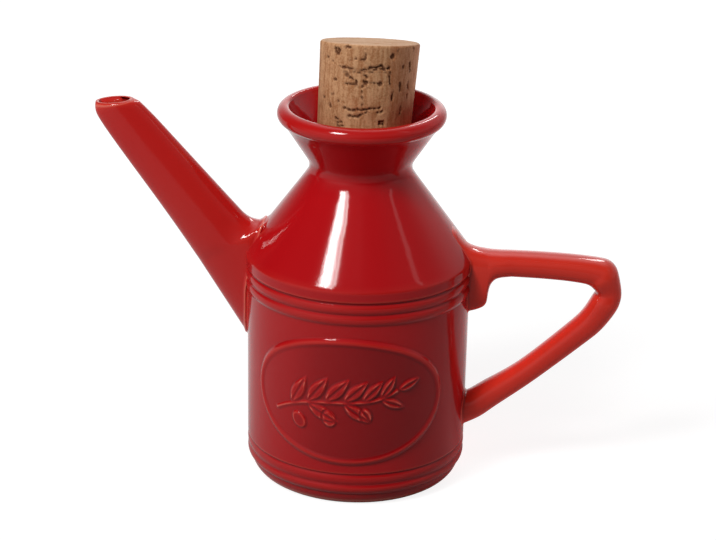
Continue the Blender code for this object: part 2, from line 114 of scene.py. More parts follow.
# Spout
SPOUT_ROOT_WIDTH = 0.0210
SPOUT_MOUTH_WIDTH = 0.0094
SPOUT_MOUTH_LENGTH = 0.0136
SPOUT_LOW_HEIGHT = 0.0487
SPOUT_HIGH_HEIGHT = 0.0938
SPOUT_LEAN = 52.0
SPOUT_WALL = 0.0030
SPOUT_LIP = 0.0011
SPOUT_UNDER_HOLLOW = 0.0011
SPOUT_TOP_HOLLOW = 0.0002
SPOUT_FILLET_START = 0.0005
SPOUT_FILLET_REACH = 0.0085
SPOUT_FILLET_RISE = 0.0070
ROOT_SINK = 0.0072

# Edges of the sections near the spout's mouth, in shares of the mouth's length
TIP_SHARES = (
    (0.24, 0.78, 0.60, 0.48),
    (0.05, 0.46, 0.30, 0.18),
    (0.00, 0.25, 0.16, 0.06),
    (0.02, 0.10, 0.00, 0.00),
)

# Handle
HANDLE_ARM_HEIGHT = 0.08155
HANDLE_LEG_HEIGHT = 0.0247
HANDLE_THICKNESS = 0.0096
HANDLE_WIDTH = 0.0114
HANDLE_SQUARENESS = 2.3
BRACKET_REACH = 0.0138
BRACKET_DROP = 0.0135
BRACKET_FLARE = 0.0012
BRACKET_SQUARENESS = 3.6

# Bracket under the arm: shares of its reach, its drop and the flare on top
BRACKET_SHARES = (
    (-0.60, 1.03, 5.60),
    (-0.42, 1.03, 5.60),
    (-0.30, 1.03, 3.90),
    (-0.19, 1.02, 2.50),
    (-0.08, 1.01, 1.45),
    (0.05, 0.99, 0.80),
    (0.21, 0.94, 0.35),
    (0.385, 0.85, 0.08),
    (0.47, 0.72, 0.00),
    (0.505, 0.47, 0.00),
    (0.54, 0.28, 0.00),
    (0.60, 0.15, 0.00),
    (0.70, 0.05, 0.00),
    (0.85, 0.00, 0.00),
)

# Centre line of the handle: shares of its reach, its rise and its thickness
HANDLE_SHARES = (
    (0.30, 1.005, 0.96),
    (0.52, 1.004, 0.97),
    (0.74, 0.996, 0.99),
    (0.915, 0.977, 1.05),
    (0.95, 0.949, 1.16),
    (1.00, 0.851, 0.89),
    (0.977, 0.787, 1.06),
    (0.892, 0.659, 1.01),
    (0.773, 0.548, 0.96),
    (0.433, 0.273, 0.91),
    (0.177, 0.102, 1.02),
    (0.070, 0.030, 1.08),
    (0.000, 0.000, 1.15),
    (-0.110, -0.040, 1.22),
)

# Cork
CORK_GAP = 0.0003
CORK_TOP_RADIUS = 0.0175
CORK_TOP_HEIGHT = 0.1615
CORK_TAPER = 0.0011
CORK_GRIP_HEIGHT = 0.0025
CORK_SWELL_HEIGHT = 0.0070
CORK_TAIL_LENGTH = 0.0110
CORK_TAIL_TAPER = 0.0004
CORK_EDGE = 0.0006
CORK_LEAN_SIDE = 2.9
CORK_LEAN_BACK = 2.5
CORK_SLANT_SIDE = 2.9
CORK_SLANT_BACK = 9.5

# Cracks and pits of the cork: angle from the front in degrees and depth under the top in
# millimetres, of one end and then of the other, and how far the crack fades out
CORK_CRACKS = (
    (-39.0, 1.9, -31.5, 2.2, 0.0), (-38.0, 2.8, -32.5, 2.8, 0.0), (-36.5, 3.6, -33.5, 3.7, 0.1),
    (-24.5, 1.0, -18.7, 1.2, 0.2), (-17.8, 5.1, 4.2, 4.7, 0.30), (0.1, 1.7, 1.1, 6.0, 0.36),
    (-29.6, 7.8, -15.9, 8.3, 0.18), (-15.9, 8.4, 7.3, 8.0, 0.26), (6.1, 7.6, 21.0, 6.9, 0.05),
    (10.0, 8.0, 29.1, 7.5, 0.10), (-24.5, 9.5, 25.2, 8.8, 0.36), (30.3, 8.9, 31.7, 12.7, 0.24),
    (-17.6, 11.3, -12.7, 11.5, 0.12), (-22.9, 13.4, -11.0, 13.2, 0.12), (-9.0, 11.6, -8.0, 13.5, 0.20),
    (-0.2, 11.7, 4.3, 13.7, 0.05), (4.0, 12.4, 18.0, 12.5, 0.18), (-8.4, 14.1, 0.4, 14.0, 0.26),
    (1.0, 9.8, 3.5, 10.7, 0.20), (-1.0, 15.6, 0.3, 20.6, 0.38), (-22.3, 21.5, -11.4, 22.1, 0.18),
    (-11.4, 22.1, 7.6, 21.3, 0.08), (7.5, 21.2, 21.8, 20.9, 0.14), (-15.9, 24.1, -3.6, 23.9, 0.08),
    (-3.7, 23.7, 7.2, 22.3, 0.10), (19.9, 22.3, 24.7, 21.9, 0.20), (-38.2, 12.7, -35.5, 12.4, 0.12),
    (-40.0, 17.4, -37.7, 17.4, 0.16), (-59.1, 19.6, -54.4, 19.5, 0.18), (-31.1, 19.5, -28.2, 19.6, 0.14),
    (-43.3, 21.2, -42.0, 21.9, 0.18), (-34.5, 25.4, -28.7, 25.6, 0.08), (-31.7, 26.9, -23.2, 26.3, 0.20),
    (-29.9, 28.0, -21.6, 27.6, 0.22), (22.0, 25.2, 27.1, 25.2, 0.16), (23.0, 26.2, 28.1, 26.2, 0.14),
    (-51.8, 5.1, -47.7, 5.3, 0.16), (59.6, 5.4, 61.1, 9.5, 0.16), (48.7, 7.0, 48.7, 7.8, 0.14),
    (46.7, 12.6, 46.6, 14.8, 0.05), (60.1, 12.4, 60.7, 14.6, 0.14), (35.8, 15.1, 36.5, 17.8, 0.18),
    (60.5, 16.8, 61.0, 18.2, 0.14), (50.4, 20.7, 51.1, 22.8, 0.08), (38.1, 1.8, 40.7, 2.7, 0.22),
    (62.4, 0.7, 66.3, 1.6, 0.18), (134.0, 7.8, 166.0, 8.1, 0.10), (152.0, 17.2, 178.0, 16.6, 0.15),
    (-176.0, 24.1, -142.0, 23.8, 0.10), (-165.0, 10.8, -145.0, 11.4, 0.20),
    (160.0, 29.0, 176.0, 29.1, 0.15), (-100.0, 6.0, -84.0, 6.4, 0.15),
    (-112.0, 18.5, -90.0, 18.0, 0.20), (100.0, 12.0, 116.0, 12.6, 0.15),
    (84.0, 21.0, 98.0, 20.4, 0.20),
)

# Share of the reach where the handle's corner starts, and rounds of smoothing there
CORNER_START = 0.80
CORNER_PASSES = 6

# Spacing of profile lines before they are thinned out, and how far their edges are rounded
LINE_SPACING = 0.0001
OUTLINE_SPACING = 0.00005
LINE_SOFTNESS = 0.00015
CORK_SOFTNESS = 0.00025
RIM_STEP = 0.0004
BEND_STEP = 0.00025

# Points round the spout and the handle, and the steps along them
SPOUT_SIDES = 72
HANDLE_SIDES = 48
SPOUT_STEP = 0.0012
SPOUT_BORE_STEP = 0.0025
HANDLE_STEP = 0.0007
SPOUT_ROWS = 16
SPOUT_FILLET_ROWS = 9
SPOUT_LIP_ROWS = 9
SPOUT_LIP_ROUNDNESS = 0.8
PATH_STEPS = 8
BRACKET_STEPS = 5

# How much thinner the glaze is there, on the handle with painted light in that paleness as well, and the
# bend per metre from which an edge thins it
SPOUT_THINNESS = 0.35
HANDLE_THINNESS_AND_LIGHT = 1.15
EDGE_BEND = 60
EDGE_BEND_RANGE = 500

# Painted shade darkens the oval's field, more in its right half, away from the light; the glaze runs off
# the foot's end, which is painted paler, with painted light from the floor below in it as well
FIELD_PAINTED_SHADE = 0.75
FIELD_SHADE_PLACES = (-0.031, -0.020, -0.010, 0.012, 0.022, 0.030)
FIELD_SHADE_SHARES = (0.15, 0.30, 0.85, 1.20, 1.15, 0.75)
FOOT_END_THIN_AND_LIGHT = 1.6

# Rows of the seams, as distances from the wall, and the painted highlight line on the spout's bead,
# stored as thinner glaze
SEAM_STEPS = np.array((
    -0.7, -0.3, 0.0, 0.12, 0.25, 0.4, 0.6, 0.8, 1.0, 1.25, 1.5, 1.75, 2.0, 2.25, 2.5, 2.8, 3.1, 3.5,
    4.0)) * MM
SEAM_HIGHLIGHT_REACH = 0.0008
SEAM_HIGHLIGHT_STRENGTH = 1.1
SEAM_HALF_WIDTH = 0.0012
SEAM_ROUNDNESS = 1.5

# Distance between points where the body and the cork carry relief, and elsewhere on the body
BODY_FINE_STEP = 0.00036
BODY_STEP = 0.0035
CORK_FINE_STEP = 0.00034

# The oval's columns in degrees: half its reach, and the steps in it and round the back
OVAL_HALF_ANGLE = 56
OVAL_ANGLE_STEP = 0.46
BACK_ANGLE_STEP = 3.2

# Line round the oval and the sprig in it
LINE_OUTER_WIDTH = 0.0019
LINE_INNER_WIDTH = 0.0015
STEM_WIDTH = 0.0011
LEAF_SOFTNESS = 0.00055
LEAF_LENGTH = 0.0125
LEAF_HALF_WIDTH = 0.0025
LEAF_STALK = 0.0009
LEAF_STEPS = 10
LEAF_WIDEST = 0.85
LEAF_FULLNESS = 0.9
LEAF_SPREAD = math.radians(40)
TIP_SCALE = 0.72
FRUIT_PLACE = 0.0064
FRUIT_HALF_LENGTH = 0.0034
FRUIT_HALF_WIDTH = 0.0025
FRUIT_STEPS = 20
FRUIT_TURN = -1.35

# Points of the stem in the oval, each with its handle ahead, in millimetres
STEM_POINTS = (((-26.5, -7.0), (-18.0, -1.5)), ((-1.0, 0.0), (8.0, 0.5)), ((18.0, 4.5), (24.0, 8.0)))

# Noise in the finishes: scale, detail and roughness
GLAZE_CLOUD = (28.0, 2.0)
GLAZE_RIPPLE = (130.0, 1.0)
GLAZE_PEEL = (900.0, 1.0)
CLAY_GRAIN = (900.0, 4.0)
CORK_GRAIN = (700.0, 4.0, 0.6)
CORK_SPECKLE = (1500.0, 3.0)
CORK_BLOTCH = (90.0, 3.0)
CORK_STREAK = (500.0, 2.0)
BARK_WOBBLE = (420.0, 3.0)
BARK_RAGGED = (900.0, 2.0)
BARK_ROUGH = (1300.0, 2.0)

# Shares, depths and finishes of the glaze, the bare clay and the cork
GLAZE_UNEVENNESS = 0.25
GLAZE_THIN_AND_LIGHT_SHARE = 0.55
GLAZE_POOL_AND_SHADE_SHARE = 0.7
GLAZE_PEEL_SHARE = 0.06
GLAZE_RIPPLE_DEPTH = 0.00008
GLAZE_IOR = 1.5
CLAY_SHADE = 0.75
CLAY_DEPTH = 0.0001
CLAY_ROUGHNESS = 0.85
SPECKLE_SHARE = 0.35
GRAIN_STRETCH = (1.0, 1.0, 0.22)
STREAK_STRETCH = (0.12, 1.0, 1.0)
BARK_SIDE_WAVER = 0.0012
CORK_DEPTH = 0.00012
CORK_BUMP = 0.4
CORK_ROUGHNESS = 0.8
CORK_GLOSS = 0.25

# Relief of the ribs, the oval and the bark
RIB_ROUNDNESS = 0.62
LINE_ROUNDNESS = 1.3
STALK_SHARE = 0.85
ON_LEAF = 0.00001
CRACK_WAVER = 0.0014
PORE_SHARE = 0.8
PORE_SOFTNESS = 0.12
BARK_LEVEL = 0.62
BARK_ROUGH_DEPTH = 0.00016

# Smooth steps in the finishes: where they start and end, and the values there
GLAZE_BREAKS_AND_LIGHT = (0.45, 0.95, 0.0, 0.65)
GRAIN_STEP = (0.36, 0.62)
BLOTCH_STEP = (0.5, 0.8, 0.0, 0.5)
BARK_SIDE_STEP = (0.0105, 0.0118, 0.0, 0.45)
STREAK_STEP = (0.5, 0.7, 0.0, 0.4)
CUT_STEP = (0.6, 0.95, 0.0, 0.7)
PORE_STEP = (0.15, 0.95, 0.0, 0.9)
CRACK_WIDTH_STEP = (0.32, 0.68, 0.35, 1.7)
CRACK_STEP = (0.5, 1.3, 1.0, 0.0)
STAIN_STEP = (0.9, 3.4, 0.5, 0.0)
PORE_SIZE_STEP = (0.80, 1.0, 0.0, 0.42)

# Camera and floor
CAMERA_PIVOT_HEIGHT = 0.075
CAMERA_AIM = Vector((-0.0003, 0.0, 0.0760))
FLOOR_HALF_SIZE = 3.0
FLOOR_COLOUR = (0.25, 0.25, 0.25, 1.0)
WHITE = (1.0, 1.0, 1.0, 1.0)

# Lights: azimuth and elevation in degrees and distance
LIGHT_AIM_HEIGHT = 0.09
WINDOW_PLACE = (-33, 47, 1.3)
WINDOW_HEIGHT = 0.44
SIDE_LIGHT_PLACE = (75, 42, 1.3)
SIDE_LIGHT_SIZE = (0.10, 0.60)
TOP_LIGHT_PLACE = (-10, 60, 1.3)
TOP_LIGHT_SIZE = (0.60, 0.60)
BACK_LIGHT_PLACE = (165, 38, 1.3)
BACK_LIGHT_SIZE = (0.12, 0.45)

# Panes of the window: shift to the right, width and share of its strength
WINDOW_PANES = (
    (-0.150, 0.04, 0.30),
    (-0.094, 0.06, 1.00),
    (-0.047, 0.03, 0.55),
    (0.005, 0.07, 1.00),
    (0.062, 0.04, 0.60),
    (0.105, 0.04, 0.22),
    (0.150, 0.05, 0.40),
)

# Soft glows of the room: azimuth, elevation, strength on plain surfaces and in reflections
SKY_GLOW_SHARPNESS = 12.0
SKY_GLOWS = (
    (150, 5, 2.40, 0.0), (150, 32, 0.75, 0.0), (180, 5, 0.0, 1.70), (-150, 5, 0.0, 0.33),
    (-60, 5, 0.0, 0.35), (-30, 5, 0.0, 0.40), (90, 5, 0.0, 0.35), (0, 32, 0.0, 0.19),
    (60, 32, 0.0, 0.16), (180, 60, 0.0, 1.75), (130, 20, 0.0, 0.40),
)

# Glows on the floor round the jug, in the same order
FLOOR_GLOW_SHARPNESS = 4.0
FLOOR_WHITE = (0.87, 1.0)
FLOOR_WHITE_FROM = (0.10, 0.45)
FLOOR_GLOWS = (
    (-135, 0, 0.94, 0.24), (-90, 0, 0.57, 0.12), (-45, 0, 0.0, 0.10), (90, 0, 0.0, 0.06),
    (135, 0, 2.80, 0.0), (180, 0, 0.0, 0.75),
)


def span(low, high, step):
    """Evenly spread values from low to high, no further apart than step."""
    return np.linspace(low, high, max(2, int(math.ceil(abs(high - low) / step)) + 1))


def sign(operation):
    """An arithmetic sign that adds a Math node."""
    return lambda value, other: value.maker.math(operation, value, other)


class Value:
    """A value in a node tree. Plain arithmetic on it adds Math nodes."""

    def __init__(self, maker, socket):
        self.maker = maker
        self.socket = socket

    def __neg__(self):
        return self * -1.0

    __add__ = __radd__ = sign('ADD')
    __sub__ = sign('SUBTRACT')
    __mul__ = sign('MULTIPLY')
    __truediv__ = sign('DIVIDE')
    __pow__ = sign('POWER')
    __gt__ = sign('GREATER_THAN')
    __lt__ = sign('LESS_THAN')


class TreeMaker:
    """Adds nodes to a tree. An input is linked to a value or a socket, or else set."""

    def __init__(self, tree):
        self.tree = tree

    def node(self, kind, inputs=None, **settings):
        node = self.tree.nodes.new(kind)
        for name, setting in settings.items():
            setattr(node, name, setting)
        for name, given in (inputs or {}).items():
            self.give(node.inputs[name], given)
        return node

    def give(self, socket, given):
        if isinstance(given, Value):
            given = given.socket
        if isinstance(given, bpy.types.NodeSocket):
            self.tree.links.new(given, socket)
        else:
            socket.default_value = given

    def value(self, kind, inputs=None, output=0, **settings):
        """Adds a node and gives one of its outputs."""
        return Value(self, self.node(kind, inputs, **settings).outputs[output])

    def math(self, operation, *values, clamp=False):
        inputs = dict(enumerate(values))
        return self.value("ShaderNodeMath", inputs, operation=operation, use_clamp=clamp)

    def ramp(self, value, low, high, start=0.0, end=1.0):
        """A smooth step from start at low to end at high."""
        return self.value("ShaderNodeMapRange", {"Value": value, "From Min": low, "From Max": high,
                                                 "To Min": start, "To Max": end},
                          interpolation_type='SMOOTHSTEP')

    def noise(self, vector, scale, detail, roughness=0.5):
        return self.value("ShaderNodeTexNoise", {"Vector": vector, "Scale": scale,
                                                 "Detail": detail, "Roughness": roughness}, "Fac")

    def parts(self, vector):
        separate = self.node("ShaderNodeSeparateXYZ", {0: vector})
        return [Value(self, socket) for socket in separate.outputs]

    def vector(self, x, y, z):
        return self.value("ShaderNodeCombineXYZ", {0: x, 1: y, 2: z})

    def vector_math(self, operation, inputs, output=0):
        return self.value("ShaderNodeVectorMath", inputs, output, operation=operation)

    def stretched(self, vector, scale):
        return self.value("ShaderNodeMapping", {"Vector": vector, "Scale": scale})

    def blend(self, factor, low, high):
        """A colour between two others."""
        low, high = (end if isinstance(end, Value) else (*end, 1.0) for end in (low, high))
        return self.value("ShaderNodeMix", {"Factor": factor, 6: low, 7: high}, 2, data_type='RGBA')

    def surface(self, colour, height, depth, strength, finish):
        """Gives the main shader its colour, its finish and its bumps."""
        shader = self.tree.nodes["Principled BSDF"]
        bump = self.value("ShaderNodeBump", {"Height": height, "Distance": depth,
                                             "Strength": strength})
        for name, given in {"Base Color": colour, "Normal": bump, **finish}.items():
            self.give(shader.inputs[name], given)

    def stored(self, name):
        """A named attribute of the geometry."""
        return self.value("GeometryNodeInputNamedAttribute", {"Name": name})

    def store(self, geometry, name, value):
        return self.value("GeometryNodeStoreNamedAttribute", {"Geometry": geometry, "Name": name,
                                                              "Value": value})

    def shape(self, item):
        return self.value("GeometryNodeObjectInfo", {"Object": item}, "Geometry")

    def distance_to(self, shape, place, element):
        return self.value("GeometryNodeProximity", {"Geometry": shape, "Sample Position": place},
                          "Distance", target_element=element)

    def push(self, geometry, direction, distance):
        """Moves a geometry's points along a direction."""
        offset = self.vector_math('SCALE', {0: direction, "Scale": distance})
        return self.value("GeometryNodeSetPosition", {"Geometry": geometry, "Offset": offset})

    def end(self, geometry, material):
        """Ends a tree with real geometry that carries its material."""
        real = self.value("GeometryNodeRealizeInstances", {"Geometry": geometry})
        dressed = self.value("GeometryNodeSetMaterial", {"Geometry": real, "Material": material})
        self.node("NodeGroupOutput", {0: dressed})
        return self.tree


def new_geometry_tree(name, sockets):
    """The maker of a geometry tree with these inputs and a material, and the inputs by name."""
    tree = bpy.data.node_groups.new(name, 'GeometryNodeTree')
    for socket, kind in {"Geometry": "Geometry", **sockets, "Material": "Material"}.items():
        tree.interface.new_socket(socket, in_out='INPUT', socket_type="NodeSocket" + kind)
    tree.interface.new_socket("Geometry", in_out='OUTPUT', socket_type='NodeSocketGeometry')
    maker = TreeMaker(tree)
    group_input = maker.node("NodeGroupInput")
    return maker, {socket.name: Value(maker, socket) for socket in group_input.outputs}


def new_object(name, data):
    piece = bpy.data.objects.new(name, data)
    bpy.context.scene.collection.objects.link(piece)
    return piece


def drop(*helpers):
    for helper in helpers:
        bpy.data.objects.remove(helper, do_unlink=True)


def plain_mesh(piece):
    """The mesh of an object as it is evaluated now."""
    evaluated = piece.evaluated_get(bpy.context.evaluated_depsgraph_get())
    return bpy.data.meshes.new_from_object(evaluated)


def grown_mesh(piece, tree, values):
    """The mesh that a tree makes of an object, with the tree's inputs set by identifier."""
    modifier = piece.modifiers.new(tree.name, 'NODES')
    modifier.node_group = tree
    for item in tree.interface.items_tree:
        if item.item_type == 'SOCKET' and item.in_out == 'INPUT' and item.name in values:
            modifier[item.identifier] = values[item.name]
    bpy.context.view_layer.update()
    mesh = plain_mesh(piece)
    piece.modifiers.remove(modifier)
    return mesh


def grow(piece, tree, values):
    """Gives a piece the mesh that a tree makes of its own."""
    old = piece.data
    piece.data = grown_mesh(piece, tree, values)
    bpy.data.meshes.remove(old)
    piece.data.name = piece.name


def new_piece(name, vertices, faces, attributes=None, edges=()):
    """An object with a mesh of these points and faces, smooth, at the origin."""
    mesh = bpy.data.meshes.new(name)
    mesh.from_pydata([tuple(point) for point in vertices], edges, faces)
    for attribute, values in (attributes or {}).items():
        mesh.attributes.new(attribute, 'FLOAT', 'POINT').data.foreach_set("value", values)
    mesh.shade_smooth()
    mesh.update()
    return new_object(name, mesh)


def grid_faces(rows, sides, joined_ends=False):
    """Faces of a grid whose rows go round; its first and last rows may be joined."""
    faces = []
    count = rows if joined_ends else rows - 1
    for row in range(count):
        near = row * sides
        far = ((row + 1) % rows) * sides
        for side in range(sides):
            other = (side + 1) % sides
            faces.append((near + side, far + side, far + other, near + other))
    return faces


def bead_point(angle):
    """The point of the rim's bead at an angle in degrees."""
    turn = math.radians(angle)
    return (BEAD_CENTRE[0] + BEAD_RADIUS * math.cos(turn),
            BEAD_CENTRE[1] + BEAD_RADIUS * math.sin(turn))


def fillet_points(before, corner, after, radius, steps=10):
    """Points of the rounded corner between two straight lines."""
    corner = Vector(corner)
    back = (Vector(before) - corner).normalized()
    ahead = (Vector(after) - corner).normalized()
    half = back.angle(ahead) / 2
    centre = corner + (back + ahead).normalized() * (radius / math.sin(half))
    start = corner + back * (radius / math.tan(half)) - centre
    turn = math.pi - 2 * half
    if back.x * ahead.y > back.y * ahead.x:
        turn = -turn
    points = []
    for step in range(steps + 1):
        angle = turn * step / steps
        points.append((centre.x + start.x * math.cos(angle) - start.y * math.sin(angle),
                       centre.y + start.x * math.sin(angle) + start.y * math.cos(angle)))
    return points


def foot_grooves():
    """Where the foot's ribs meet, from its top down to the edge of the base."""
    grooves = [(WALL_FOOT_RADIUS - FOOT_TAPER * inset, FOOT_HEIGHT * up)
               for up, inset, _ in FOOT_SHARES]
    return grooves + [(BASE_RADIUS, BASE_EDGE)]


def outside_points():
    """Outer profile without its ribs, from the neck's fillet to the edge of the base."""
    neck = (NECK_RADIUS, NECK_HEIGHT)
    band_top = (WALL_TOP_RADIUS, BAND_BOTTOM + BAND_HEIGHT)
    under = (SHOULDER_CORNER[0], band_top[1] + SHOULDER_UNDERCUT)
    points = fillet_points(bead_point(BEAD_CREASE_ANGLE), neck, SHOULDER_CORNER, NECK_FILLET)
    points += fillet_points(neck, SHOULDER_CORNER, under, SHOULDER_FILLET)
    points += [under, band_top, (WALL_TOP_RADIUS, BAND_BOTTOM)]
    points += [(WALL_FOOT_RADIUS, FOOT_HEIGHT + FOOT_STEP)]
    return points + foot_grooves()


def inside_points(wall):
    """Inner profile from the middle of the floor up to the foot of the rim's bead."""
    neck = Vector((NECK_RADIUS, NECK_HEIGHT))
    up = (Vector(bead_point(BEAD_CREASE_ANGLE)) - neck).normalized()
    down = (Vector(SHOULDER_CORNER) - neck).normalized()
    inner_neck = neck - (up + down).normalized() * (wall / math.sin(up.angle(down) / 2))
    cone = Vector(SHOULDER_CORNER) - neck
    radius = WALL_TOP_RADIUS - wall
    shoulder = (radius, inner_neck.y + cone.y * (radius - inner_neck.x) / cone.x)
    foot = (WALL_FOOT_RADIUS - wall, FLOOR_THICKNESS)
    rim = bead_point(BEAD_INNER_ANGLE)
    rim = (rim[0] - RIM_EDGE_INSET, rim[1] - RIM_EDGE_DROP)
    points = [(0.0, FLOOR_THICKNESS)]
    points += fillet_points(points[0], foot, shoulder, INNER_FOOT_FILLET)
    points += fillet_points(foot, shoulder, inner_neck, SHOULDER_FILLET + wall)
    points += fillet_points(shoulder, inner_neck, rim, NECK_FILLET + wall)
    points.append(rim)
    return points


def throat(wall):
    """Radius and height of the narrowest ring inside the neck."""
    return min(inside_points(wall)[-12:-1])


def cross(one, two):
    """The cross product of flat steps."""
    return one[..., 0] * two[..., 1] - one[..., 1] * two[..., 0]


def path_lengths(line):
    """How far each point of a line is from its start, along it."""
    return np.r_[0, np.cumsum(np.linalg.norm(np.diff(line, axis=0), axis=1))]


def set_out(line, distances):
    """The points of a line at distances along it, going straight on before its start."""
    lengths = path_lengths(line)
    out = np.stack([np.interp(distances, lengths, column) for column in line.T], axis=1)
    early = distances < 0
    if early.any():
        heading = (line[1] - line[0]) / np.linalg.norm(line[1] - line[0])
        out[early] = line[0] + heading * distances[early][:, None]
    return out


def soften(points, spacing, reach):
    """The line through points, evenly spaced and rounded off over reach, ends kept."""
    points = np.array(points)
    line = set_out(points, span(0, path_lengths(points)[-1], spacing))
    width = int(3 * reach / spacing)
    kernel = np.exp(-0.5 * (np.arange(-width, width + 1) * spacing / reach) ** 2)
    kernel /= kernel.sum()
    padded = np.pad(line, ((width, width), (0, 0)), mode='reflect', reflect_type='odd')
    return np.stack([np.convolve(column, kernel, 'valid') for column in padded.T], axis=1)


def thin_out(line, spacing_at, turn):
    """Drops points from a dense line where it is straight, down to the spacing wanted there."""
    kept = [line[0]]
    for index in range(1, len(line) - 1):
        step = line[index] - kept[-1]
        ahead = line[index + 1] - line[index]
        length = np.linalg.norm(step)
        bend = abs(math.atan2(cross(step, ahead), step @ ahead))
        if length >= spacing_at(line[index]) or (bend > turn and length > BEND_STEP):
            kept.append(line[index])
    kept.append(line[-1])
    return np.array(kept)


def outer_radius_at(height):
    """Outer radius of the body at a height, by the profile that its ribs rise from."""
    points = sorted((z, r) for r, z in outside_points())
    return np.interp(height, *zip(*points))


def off_body(points):
    """How far points are outside the body's surface, measured level."""
    return np.hypot(points[:, 0], points[:, 1]) - outer_radius_at(points[:, 2])


def ribs_tree():
    """Raises round ribs between two heights on the points marked as outside."""
    maker, given = new_geometry_tree("round_ribs", {
        "Top": "Float", "Bottom": "Float", "Count": "Float", "Rise": "Float"})
    height = maker.parts(maker.value("GeometryNodeInputPosition"))[2]
    share = maker.value("ShaderNodeMapRange", {"Value": height, "From Min": given["Top"],
                                               "From Max": given["Bottom"]})
    wave = maker.math('SINE', share * math.pi * given["Count"])
    crest = maker.math('ABSOLUTE', wave) ** RIB_ROUNDNESS
    rise = crest * given["Rise"] * maker.stored("outside")
    moved = maker.push(given["Geometry"], maker.value("GeometryNodeInputNormal"), rise)
    return maker.end(moved, given["Material"])


def sprig_tree():
    """Sets leaves and fruit along a stem, all flat: pairs of leaves, fruit under the odd ones."""
    maker, given = new_geometry_tree("olive_sprig", {
        "Leaf": "Object", "Fruit": "Object", "Count": "Int", "Spread": "Float",
        "Tip Scale": "Float"})
    curve = maker.value("GeometryNodeResampleCurve", {"Curve": given["Geometry"],
                                                      "Count": given["Count"]})
    tangent = maker.parts(maker.value("GeometryNodeInputTangent"))
    heading = maker.math('ARCTAN2', tangent[2], tangent[0])
    index = maker.value("GeometryNodeInputIndex")
    last = given["Count"] - 1.0
    scale = maker.ramp(index / last, 0.35, 1.0, 1.0, given["Tip Scale"])
    odd = maker.math('MODULO', index, 2.0)
    inner = (index > 0.5) * (index < last - 0.5)
    even = maker.math('SUBTRACT', 1.0, odd) * inner
    leaf, fruit = maker.shape(given["Leaf"]), maker.shape(given["Fruit"])
    joined = maker.node("GeometryNodeJoinGeometry")
    kinds = (
        (leaf, inner, given["Spread"]),
        (leaf, even, -given["Spread"]),
        (leaf, index > last - 0.5, 0.0),
        (fruit, odd * (inner * (index < last - 1.5)), FRUIT_TURN),
    )
    for shape, chosen, turn in kinds:
        placed = maker.value("GeometryNodeInstanceOnPoints", {
            "Points": curve, "Selection": chosen, "Instance": shape,
            "Rotation": maker.vector(0.0, -(heading + turn), 0.0),
            "Scale": maker.vector(scale, scale, scale)})
        maker.give(joined.inputs[0], placed)
    return maker.end(joined.outputs[0], given["Material"])


def plaque_tree():
    """Raises the oval's field, the line round it and the sprig in it, on the front of the wall."""
    maker, given = new_geometry_tree("oval_plaque", {
        **dict.fromkeys(("Wall Radius", "Half Width", "Half Height", "Centre Height", "Tilt",
                         "Line Outer Width", "Line Inner Width", "Line Rise", "Field Rise",
                         "Sprig Rise", "Stem Width", "Softness"), "Float"),
        "Sprig": "Object", "Stem": "Object"})
    place = maker.parts(maker.value("GeometryNodeInputPosition"))
    back = -place[1]
    level = maker.math('ARCTAN2', place[0], back) * given["Wall Radius"]
    upright = place[2] - given["Centre Height"]
    along_tilt, over_tilt = maker.math('COSINE', given["Tilt"]), maker.math('SINE', given["Tilt"])
    across = level * along_tilt + upright * over_tilt
    upward = upright * along_tilt - level * over_tilt

    share_across, share_up = across / given["Half Width"], upward / given["Half Height"]
    reach = maker.math('SQRT', share_across ** 2.0 + share_up ** 2.0)
    slope = maker.math('SQRT', (share_across / given["Half Width"]) ** 2.0
                       + (share_up / given["Half Height"]) ** 2.0)
    distance = (reach - 1.0) * reach / maker.math('MAXIMUM', slope, 1.0)

    outer = maker.math('DIVIDE', distance, given["Line Outer Width"], clamp=True)
    inner = maker.math('DIVIDE', -distance, given["Line Inner Width"], clamp=True)
    off_line = maker.math('MAXIMUM', outer, inner)
    bead = maker.math('COSINE', off_line * (math.pi / 2)) ** LINE_ROUNDNESS
    inside = maker.ramp(distance, -given["Line Inner Width"], given["Line Outer Width"], 1.0, 0.0)
    field = inside * given["Field Rise"]
    line = bead * (given["Line Rise"] - field)

    flat = maker.vector(across, 0.0, upward)
    sprig, stem = maker.shape(given["Sprig"]), maker.shape(given["Stem"])
    off_leaf = maker.distance_to(sprig, flat, 'FACES')
    off_edge = maker.distance_to(sprig, flat, 'EDGES')
    off_stem = maker.distance_to(stem, flat, 'EDGES')
    depth = (off_leaf < ON_LEAF) * off_edge - off_leaf
    leaf = maker.ramp(depth, given["Softness"] * -0.5, given["Softness"])
    stalk = maker.ramp(off_stem, 0.0, given["Stem Width"], STALK_SHARE, 0.0)
    motif = maker.math('MAXIMUM', leaf, stalk) * given["Sprig Rise"] * inside

    on_front = maker.stored("outside") * (back > 0.0)
    radial = maker.vector_math('NORMALIZE', {0: maker.vector(place[0], place[1], 0.0)})
    moved = maker.push(given["Geometry"], radial, (line + field + motif) * on_front)
    return maker.end(maker.store(moved, "field", inside * on_front), given["Material"])


